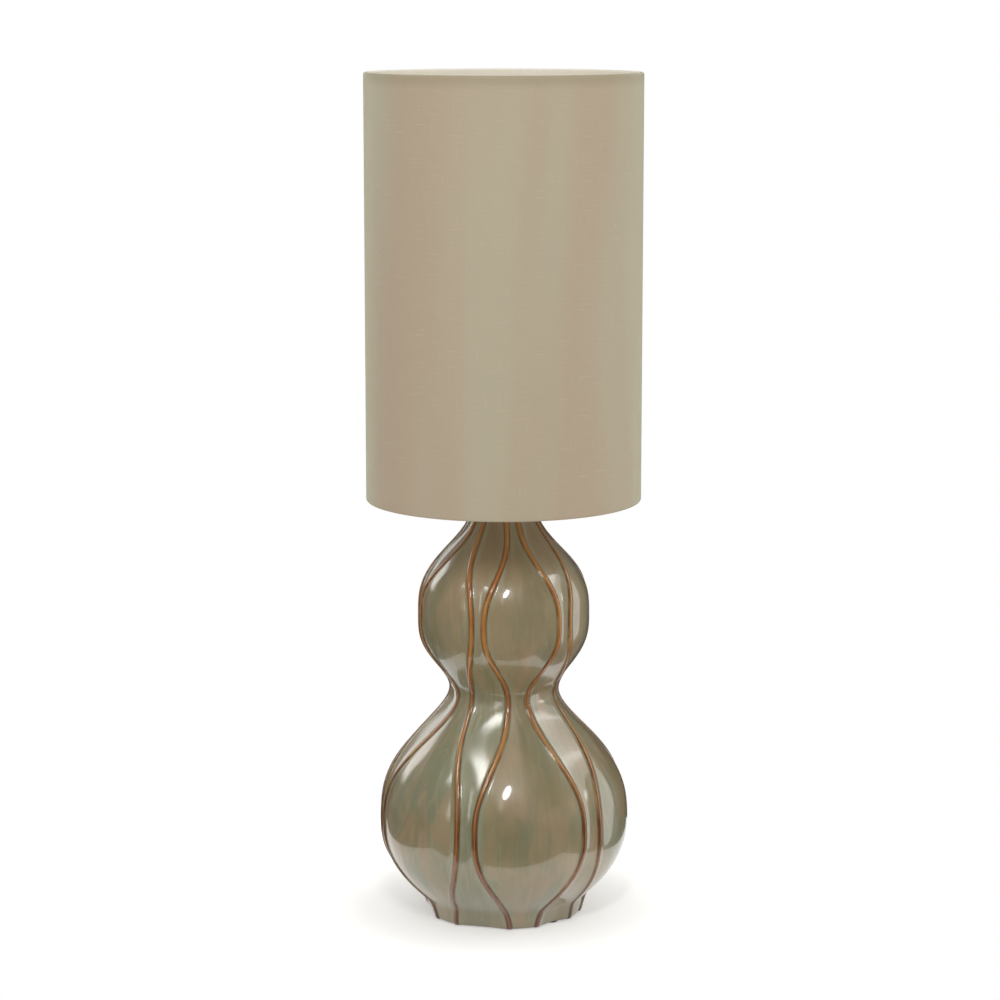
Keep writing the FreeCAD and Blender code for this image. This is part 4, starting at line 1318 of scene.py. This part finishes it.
# ---- lampholder ---------------------------------------------------------------------------------
@dataclass
class Lampholder:
    """Holder cup, shell with threaded skirt, the screw shell and the contacts inside."""

    rod_hole: float = 5.0 * MM
    boss_radius: float = 8.5 * MM
    cup_wall: float = 2.0 * MM
    cup_inner: float = 19.1 * MM
    shell_wall: float = 3.2 * MM
    lip_radius: float = 13.75 * MM
    skirt_radius: float = 19.8 * MM
    grip_radius: float = 21.0 * MM
    flange_height: float = 3.0 * MM
    skirt_pitch: float = 3.0 * MM
    skirt_depth: float = 0.9 * MM
    screw_wall: float = 0.5 * MM
    screw_hole: float = 9.5 * MM

    def build(self) -> None:
        """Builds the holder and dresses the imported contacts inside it."""
        self.cup()
        self.shell()
        self.screw_shell()
        dress(ZINC, "holder_grub_screw", "terminal_screws")
        dress(PORCELAIN, "terminal_block")
        dress(BRIGHT_BRASS, "wire_terminals", "centre_contact", "side_contact")

    def cup(self) -> None:
        """Lower cup with its boss; its hole for the rod is plain."""
        outer, low, high = node_size("holder_cap")
        base = low + 8 * MM
        floor = base + self.cup_wall
        inner = outer - self.cup_wall
        corners = [(self.rod_hole, low, 0.3 * MM), (self.boss_radius, low, 0.5 * MM),
                   (self.boss_radius, base), (outer, base, 4.0 * MM), (outer, high, 0.4 * MM),
                   (inner, high, 0.3 * MM), (inner, floor, 1.2 * MM), (self.rod_hole, floor)]
        piece("holder_cup", turned(corners, 112, steps=6), SATIN_BRASS, "base", "holder_cap")

    def shell(self) -> None:
        """Outer shell: grip, flange for the shade and the skirt's rounded thread."""
        outer, low, high = node_size("holder_shell")
        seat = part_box("seat_washer")[0].z
        cup_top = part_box("holder_cap")[1].z
        flange = seat - self.flange_height
        bore = self.skirt_radius - self.shell_wall
        corners = [
            (self.cup_inner, low, 0.3 * MM), (self.grip_radius, low, 0.8 * MM),
            (self.grip_radius, flange, 0.8 * MM), (outer, flange, 0.6 * MM), (outer, seat, 0.5 * MM),
            (self.skirt_radius, seat, 0.2 * MM), (self.skirt_radius, high, 1.0 * MM),
            (self.lip_radius, high, 0.6 * MM), (self.lip_radius, high - 3 * MM, 0.3 * MM),
            (bore, high - 3 * MM, 0.6 * MM), (bore, cup_top, 0.4 * MM), (self.cup_inner, cup_top, 0.2 * MM)]
        thread = Thread(MOULDING, self.skirt_pitch, self.skirt_depth, seat + 0.6 * MM, high - 0.8 * MM,
                        self.skirt_radius - 0.5 * MM, 1.6)
        piece("moulded_shell", outward(thread.grow(turned(corners, 112, 0.35 * MM))), MOULDING, "base",
              "holder_shell")

    def screw_shell(self) -> None:
        """Rolled brass shell that the bulb screws into."""
        outer, low, high = node_size("screw_shell")
        wall = self.screw_wall
        corners = [(self.screw_hole, low), (outer, low), (outer, high), (outer - wall, high),
                   (outer - wall, low + wall), (self.screw_hole, low + wall)]
        piece("brass_screw_shell", turned(corners, 96, 0.5 * MM), BRIGHT_BRASS, "base", "screw_shell")


# ---- shade --------------------------------------------------------------------------------------
@dataclass
class DrumShade:
    """The drum: folded cover, back seam, lining, wire frame and the collar that clamps it."""

    cloth: float = 0.7 * MM
    hem_inner: float = 105.4 * MM
    hem_height: float = 9.0 * MM
    hem_round: float = 1.6 * MM
    hem_edge: float = 0.2 * MM
    seam_width: float = 11.0 * MM
    seam_rise: float = 0.35 * MM
    seam_inset: float = 1.2 * MM
    seam_columns: int = 10
    seam_rows: int = 60
    lining_wall: float = 0.6 * MM
    lining_edge: float = 0.15 * MM
    wire: float = 2.0 * MM
    bend: float = 12.0 * MM
    arm_flat: float = 13.0 * MM
    arm_end: float = 7.0 * MM
    plate_bore: float = 20.4 * MM
    washer_bore: float = 20.2 * MM
    washer_edge: float = 0.15 * MM
    collar_bore: float = 20.15 * MM
    collar_ribs: int = 36
    collar_rib: float = 0.9 * MM

    def build(self) -> None:
        cover = self.cover()
        lap = self.seam()
        self.lining()
        self.rings()
        self.arms()
        flat_ring("fitter_ring", "fitter_plate", self.plate_bore, 0.35 * MM, WIRE, "shade")
        for body in ("seat", "clamp"):
            flat_ring(f"{body}_washer", f"fibre_{body}_washer", self.washer_bore, self.washer_edge, FIBRE,
                      body)
        self.collar()

    def cover(self) -> Object:
        """Makes the silk, folded over both rings and down inside them as one closed skin.

        Returns:
            The piece.
        """
        outer, low, high = node_size("shade_fabric")
        turned_in = self.hem_inner + self.cloth
        behind = outer - self.cloth
        big = self.hem_round
        small = self.hem_round - self.cloth
        edge = self.hem_edge
        mesh = turned([
            (outer, low, big), (outer, high, big), (self.hem_inner, high, big),
            (self.hem_inner, high - self.hem_height, edge), (turned_in, high - self.hem_height, edge),
            (turned_in, high - self.cloth, small), (behind, high - self.cloth, small),
            (behind, low + self.cloth, small), (turned_in, low + self.cloth, small),
            (turned_in, low + self.hem_height, edge), (self.hem_inner, low + self.hem_height, edge),
            (self.hem_inner, low, big)], 216, 8 * MM, 5, 70.0)
        mesh.materials.append(SILK.material())
        mesh.materials.append(LINING.material())
        for face in mesh.polygons:
            middle = face.center.xy
            if middle.length < outer - 0.5 * self.hem_round and face.normal.xy.dot(middle) < 0.0:
                face.material_index = 1
        return piece("silk_cover", mesh, SILK, "shade", "shade_fabric")

    def seam(self) -> Object:
        """Makes the lap at the back where the cover's two ends are glued over each other.

        Returns:
            The piece.
        """
        outer, low, high = node_size("shade_fabric")
        work = bmesh.new()
        cloth = work.loops.layers.uv.new("cloth")
        half = self.seam_width / 2 / outer
        inset = self.seam_inset
        net = []
        for r in range(self.seam_rows + 1):
            z = low + inset + (high - low - 2 * inset) * r / self.seam_rows
            net.append([])
            for c in range(self.seam_columns + 1):
                side = 2 * c / self.seam_columns - 1
                turn = half * side + 0.002 * math.sin(z * 40)
                away = outer + (self.seam_rise * (1 - abs(side) ** 8) - 0.1 * MM)
                net[r].append(work.verts.new((-away * math.sin(turn), away * math.cos(turn), z)))
        for near, far in zip(net, net[1:]):
            for c in range(self.seam_columns):
                face = work.faces.new((near[c], far[c], far[c + 1], near[c + 1]))
                for loop in face.loops:
                    loop[cloth].uv = (loop.vert.co.x, loop.vert.co.z)
        bmesh.ops.solidify(work, geom=work.faces[:], thickness=0.3 * MM)
        return piece("back_lap", outward(written(work)), SILK, "shade")

    def lining(self) -> None:
        """The pale stiff lining behind the cloth."""
        outer, low, high = node_size("shade_liner")
        inner = outer - self.lining_wall
        edge = self.lining_edge
        corners = [(inner, low, edge), (outer, low, edge), (outer, high, edge), (inner, high, edge)]
        piece("pale_lining", turned(corners, 216, 12 * MM, 2), LINING, "shade", "shade_liner")

    def rings(self) -> None:
        """The two wire rings inside the folds."""
        for node, name in (("shade_top_ring", "top_wire_ring"), ("shade_bottom_ring", "bottom_wire_ring")):
            outer, low, high = node_size(node)
            radius = (high - low) / 2
            turns = [TURN * k / 16 for k in range(16)]
            circle = [(outer - radius + radius * math.cos(a), low + radius + radius * math.sin(a))
                      for a in turns]
            piece(name, turned(circle, 144), WIRE, "shade", node)

    def arms(self) -> None:
        """Three wire arms from the fitter plate down to the bottom ring, bent like the model's."""
        low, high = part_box("fitter_arms")
        plate = node_size("fitter_ring")[0]
        level = high.z - self.wire
        outer = self.hem_inner - self.wire - 0.1 * MM
        corners = [(plate, level), (plate + self.arm_flat, level), (outer, low.z + self.arm_end),
                   (outer, low.z)]
        path = bpy.data.meshes.new("arm_path")
        path.from_pydata([(0.0, radius, z) for radius, z in corners], [(0, 1), (1, 2), (2, 3)], [])
        mesh = RoundTheAxis(WIRE, 3).grow(BentWire(WIRE, self.wire, self.bend).grow(path))
        piece("wire_arms", outward(mesh), WIRE, "shade", "fitter_arms")

    def collar(self) -> None:
        """The ribbed ring nut on the holder's skirt."""
        outer, low, high = node_size("shade_collar")
        core = outer - self.collar_rib
        rib = self.collar_rib
        foot = low + 0.2 * MM
        head = high - 0.5 * MM
        ring = turned([(self.collar_bore, low, 0.3 * MM), (core, low, 0.4 * MM), (core, high, 0.8 * MM),
                       (self.collar_bore, high, 0.5 * MM)], 108)
        bead = turned([(0.0, foot), (rib, foot, 0.3 * MM), (rib, head, 0.5 * MM), (0.0, head)], 14)
        bead.transform(Matrix.Translation((core, 0.0, 0.0)))
        work = bmesh.new()
        work.from_mesh(ring)
        work.from_mesh(RoundTheAxis(MOULDING, self.collar_ribs).grow(bead))
        piece("ribbed_collar", outward(written(work)), MOULDING, "collar", "shade_collar")


# ---- bulb ---------------------------------------------------------------------------------------
@dataclass
class FilamentBulb:
    """The slim tubular bulb: glass, rolled cap, foot and the lit-colour filaments on their stem."""

    neck: float = 12.3 * MM
    tube: float = 15.0 * MM
    wall: float = 0.8 * MM
    flare: float = 9.0 * MM
    flare_low: float = 404.3 * MM
    pitch: float = 3.629 * MM
    thread_depth: float = 0.85 * MM
    cap_foot: float = 10.0 * MM
    cap_wall: float = 0.4 * MM
    cone_tip: float = 4.6 * MM
    stem_flare: float = 11.4 * MM
    stem_tube: float = 4.5 * MM
    stem_rod: float = 1.0 * MM
    lower_disc: float = 6.9 * MM
    upper_disc: float = 4.9 * MM
    filaments: int = 4
    filament_radius: float = 0.9 * MM
    filament_ring: float = 6.0 * MM
    beads: int = 26
    lean: float = 2.0 * MM

    def build(self) -> None:
        """Builds the bulb on its two bodies."""
        self.glass()
        self.cap()
        self.foot()
        self.stem()
        self.sticks()

    def outline(self, inset: float, low: float, top: float) -> list[tuple[float, float]]:
        """Draws the glass from its mouth to its crown.

        Args:
            inset: how far it lies inside the outer face.
            low: height of the mouth.
            top: height of the crown's outer face.

        Returns:
            The outline.
        """
        neck = self.neck - inset
        tube = self.tube - inset
        dome = top - self.tube
        points = [(neck, low), (neck, self.flare_low)]
        for t in [k / 12 for k in range(1, 13)]:
            points.append((neck + (tube - neck) * (t * t * (3 - 2 * t)), self.flare_low + self.flare * t))
        start = self.flare_low + self.flare
        points += [(tube, start + (dome - self.flare_low - self.flare) * k / 12) for k in range(1, 13)]
        points += [(tube * math.cos(a), dome + tube * math.sin(a)) for a in quarter_turn(16)[1:-1]]
        return points + [(0.0, dome + tube)]

    def glass(self) -> None:
        """Thin glass, open only where the cap closes it."""
        _, low, high = node_size("bulb_glass")
        walls = self.outline(0.0, low, high) + self.outline(self.wall, low, high)[::-1]
        piece("tube_glass", turned(walls, 96, sharp_deg=50.0), GLASS, "bulb", "bulb_glass")

    def cap(self) -> None:
        """The cap's rolled screw thread."""
        outer, low, high = node_size("bulb_cap")
        wall = self.cap_wall
        foot = self.cap_foot
        taper = low + outer - foot
        inner = outer - wall - self.thread_depth
        corners = [(foot - wall, low), (foot, low), (outer, taper), (outer, high), (outer - wall, high),
                   (inner, high - 2 * wall), (inner, taper)]
        thread = Thread(NICKEL, self.pitch, self.thread_depth, taper, high - 3.5 * MM, outer - 0.1 * MM, 1.1)
        piece("rolled_cap", thread.grow(turned(corners, 112, 0.35 * MM)), NICKEL, "bulb", "bulb_cap")

    def foot(self) -> None:
        """The black glass cone and the solder dome under it."""
        outer, low, high = node_size("bulb_insulator")
        cone = [(0.0, low), (self.cone_tip, low, 0.3 * MM), (outer, high, 0.3 * MM), (0.0, high)]
        piece("glass_cone", turned(cone, 72), BLACK_GLASS, "bulb", "bulb_insulator")
        radius, low, high = node_size("bulb_tip")
        dome = [(radius * math.sin(a), high - (high - low) * math.cos(a)) for a in quarter_turn(10)]
        piece("solder_dome", turned(dome + [(0.0, high)], 48), SOLDER, "bulb_foot", "bulb_tip")

    def stem(self) -> None:
        """The glass stem, its centre rod and the two wire discs that hold the filaments."""
        _, low, high = node_size("bulb_stem")
        lower = low + 15 * MM
        upper = high - 0.8 * MM
        flare = self.stem_flare
        tube = self.stem_tube
        disc = self.lower_disc
        rod = self.stem_rod
        corners = [
            (0.0, low), (flare, low, 0.2 * MM), (flare, low + 0.8 * MM, 0.3 * MM),
            (tube, low + 10 * MM, 3.0 * MM), (tube, lower - 1.2 * MM, 0.3 * MM),
            (disc, lower - 0.8 * MM, 0.2 * MM), (disc, lower, 0.2 * MM), (tube, lower + 0.1 * MM),
            (tube, low + 25.5 * MM, 2.0 * MM), (rod, low + 30 * MM, 1.0 * MM), (rod, upper),
            (self.upper_disc, upper, 0.2 * MM), (self.upper_disc, high, 0.3 * MM), (0.0, high)]
        piece("glass_stem", turned(corners, 64), GLASS, "bulb", "bulb_stem")

    def sticks(self) -> None:
        """The straight filaments, beaded along their length."""
        low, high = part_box("bulb_filaments")
        length = high.z - low.z
        rows = [(0.0, 0.0)]
        for k in range(self.beads * 4 + 1):
            share = k / (self.beads * 4)
            bead = 1 - 0.12 * (0.5 - 0.5 * math.cos(2 * math.pi * share * self.beads))
            rows.append((self.filament_radius * bead, length * share))
        stick = turned(rows + [(0.0, length)], 14, sharp_deg=80.0)
        stick.transform(Matrix.Translation((self.filament_ring, 0.0, low.z))
                        @ Matrix.Rotation(-math.atan2(self.lean, length), 4, "Y"))
        piece("beaded_filaments", RoundTheAxis(PHOSPHOR, self.filaments).grow(stick), PHOSPHOR, "bulb",
              "bulb_filaments")


# ---- studio -------------------------------------------------------------------------------------
class Lamp(Enum):
    """The soft lamps: azimuth from the front, height angle, distance, width, height, lean and power."""

    HIGH_FRONT = (-2.0, 38.5, 1.7, 0.2, 0.5, 22.0, 6.4)
    RIGHT_SCREEN = (105.0, 6.0, 1.9, 0.84, 2.5, 0.0, 8.2)


class Panel(Enum):
    """Pale panels that only reflections see: azimuth, half width, low and high angle, softness, strength."""

    LEFT_BACK = (-129.0, 7.0, 15.0, 33.0, 2.0, 3.4)
    FAR_LEFT = (-154.0, 3.0, -20.0, 62.0, 2.0, 1.5)
    LEFT_STRIP = (-42.0, 4.0, 10.0, 40.0, 4.0, 3.6)
    LEFT_HIGH = (-57.0, 7.0, 50.0, 64.0, 4.0, 13.0)
    RIGHT_HIGH = (114.0, 7.0, 32.0, 44.0, 3.0, 3.4)
    RIGHT_SPOT = (94.0, 3.0, 14.0, 19.0, 2.0, 6.0)
    TAIL = (-9.0, 1.5, 25.0, 36.0, 2.5, 2.2)
    SKEIN = (7.0, 1.0, 46.0, 62.0, 2.0, 1.0)
    OVERHEAD = (11.0, 26.0, 62.0, 76.0, 13.0, 0.7)


@dataclass
class Studio:
    """Pale table, white surroundings, a dark room for the glaze to reflect, soft lamps and the camera."""

    aim_height: float = 0.25
    ambient: float = 0.8
    daylight: Colour = (1.0, 0.985, 0.96)
    white: Colour = (1.0, 1.0, 1.0)
    table_top: Colour = (0.80, 0.80, 0.79)
    room: Colour = (0.03, 0.027, 0.022)
    walls: Colour = (0.22, 0.22, 0.2)
    table: tuple[float, float, float, float] = (-0.24, 0.2, -0.17, 0.26)
    room_radius: float = 3.4
    open_behind: float = 170.0
    camera_place: tuple[float, float, float] = (-0.0029, -2.3538, 0.7388)
    camera_dip: float = 9.656
    lens: float = 107.25

    def build(self) -> None:
        """Sets up everything that isn't the lamp."""
        self.surroundings()
        self.floor()
        self.screens()
        for lamp in Lamp:
            self.soft_lamp(lamp)
        self.camera()
        bpy.context.scene.view_settings.view_transform = "Standard"

    def background_ray(self, graph: Graph) -> Term:
        """1 for the rays that show the background: camera, glossy and transmission rays."""
        camera, glossy, through = [graph.out("ShaderNodeLightPath", output=f"Is {kind} Ray")
                                   for kind in ("Camera", "Glossy", "Transmission")]
        return graph.math("MAXIMUM", graph.math("MAXIMUM", camera, glossy), through)

    def surroundings(self) -> None:
        """White where the background shows, and an even level of light otherwise."""
        world = bpy.data.worlds.new("plain studio")
        bpy.context.scene.world = world
        graph = Graph.of(world)
        lit = graph.out("ShaderNodeBackground", {"Color": self.daylight, "Strength": self.ambient})
        shown = graph.out("ShaderNodeBackground", {"Color": self.white, "Strength": 1.0})
        mixed = graph.out("ShaderNodeMixShader", {0: self.background_ray(graph), 1: lit, 2: shown})
        graph.node("ShaderNodeOutputWorld", {"Surface": mixed})

    def floor(self) -> None:
        """A plain pale table top that keeps the lamp's shadow."""
        left, right, front, back = self.table
        mesh = bpy.data.meshes.new("table_top")
        corners = [(left, front, 0.0), (right, front, 0.0), (right, back, 0.0), (left, back, 0.0)]
        mesh.from_pydata(corners, [], [(0, 1, 2, 3)])
        mesh.materials.append(bpy.data.materials.new("pale table"))
        graph = Graph.of(mesh.materials[0])
        paint = graph.out("ShaderNodeBsdfDiffuse", {"Color": self.table_top})
        x, y, _ = graph.parts(graph.place())
        strength = graph.lift(graph.away(x, y), 0.1, 0.17) * 0.16 + 0.34
        glow = graph.out("ShaderNodeEmission", {"Color": self.white,
                                                "Strength": self.background_ray(graph) * strength})
        graph.node("ShaderNodeOutputMaterial", {
            "Surface": graph.out("ShaderNodeAddShader", {0: paint, 1: glow})})
        new_object("table_top", mesh)

    def screens(self) -> None:
        """Dark screens round the set that only reflections see, open behind."""
        work = bmesh.new()
        bmesh.ops.create_uvsphere(work, u_segments=72, v_segments=36, radius=self.room_radius)
        behind = []
        for face in work.faces:
            middle = face.calc_center_median()
            if abs(math.degrees(math.atan2(middle.x, -middle.y))) > self.open_behind:
                behind.append(face)
        bmesh.ops.delete(work, geom=behind, context="FACES")
        mesh = written(work, "dark_screens")
        mesh.materials.append(bpy.data.materials.new("dark screen"))
        graph = Graph.of(mesh.materials[0])
        place = graph.place()
        x, y, z = graph.parts(graph.vector("NORMALIZE", place))
        wobble = (graph.noise(place, 3.0, 0.6, scale=1.6) - 0.5) * 7.0
        turn = graph.math("ARCTAN2", x, y * -1.0) * PER_RADIAN + wobble
        rise = graph.math("ARCSINE", z) * PER_RADIAN + wobble
        patches = graph.noise(place * (0.5, 0.5, 0.8), 3.0, 0.5, 0.8)
        shown = graph.blend(graph.lift(patches, 0.42, 0.68), self.room, self.walls)
        for panel in Panel:
            middle, half, low, high, soft, strength = panel.value
            away = graph.math("ABSOLUTE", turn - middle)
            inside = graph.lift(away, half + soft, half - soft)
            inside = inside * graph.lift(rise, low - 3 * soft, low + soft)
            inside = inside * graph.lift(rise, high + 2 * soft, high - soft)
            shown = graph.blend(inside, shown, (strength, strength, strength * 0.97))
        dim = graph.out("ShaderNodeEmission", {"Color": shown, "Strength": 1.0})
        graph.node("ShaderNodeOutputMaterial", {"Surface": dim})
        screens = new_object("dark_screens", mesh)
        screens.visible_camera = False
        screens.visible_diffuse = False
        screens.visible_transmission = False
        screens.visible_shadow = False

    def soft_lamp(self, lamp: Lamp) -> None:
        """Sets up one soft lamp that faces the object.

        Args:
            lamp: which one.
        """
        turn, rise, distance, width, height, lean, power = lamp.value
        a = math.radians(turn)
        e = math.radians(rise)
        away = Vector((math.sin(a) * math.cos(e), -math.cos(a) * math.cos(e), math.sin(e)))
        light = bpy.data.lights.new(lamp.name.lower(), "AREA")
        light.shape = "ELLIPSE"
        light.size = width
        light.size_y = height
        light.energy = power
        made = new_object(lamp.name.lower(), light)
        made.location = Vector((0.0, 0.0, self.aim_height)) + away * distance
        facing = (-away).to_track_quat("-Z", "Y").to_matrix().to_4x4()
        made.rotation_euler = (facing @ Matrix.Rotation(math.radians(-lean), 4, "Z")).to_euler()

    def camera(self) -> None:
        """The camera where the photograph was taken from."""
        data = bpy.data.cameras.new("camera")
        data.lens = self.lens
        data.sensor_width = 36.0
        made = new_object("camera", data)
        made.location = self.camera_place
        made.rotation_euler = (math.radians(90 - self.camera_dip), 0.0, 0.0)
        bpy.context.scene.camera = made


def main() -> None:
    """Builds the lamp's sub-assemblies in order, then the studio."""
    logging.basicConfig(level=logging.INFO, format="%(name)s: %(message)s")
    gourd = GourdBody()
    gourd.build()
    Fittings().build(gourd.form)
    Lampholder().build()
    DrumShade().build()
    FilamentBulb().build()
    Studio().build()


if __name__ == "__main__":
    main()
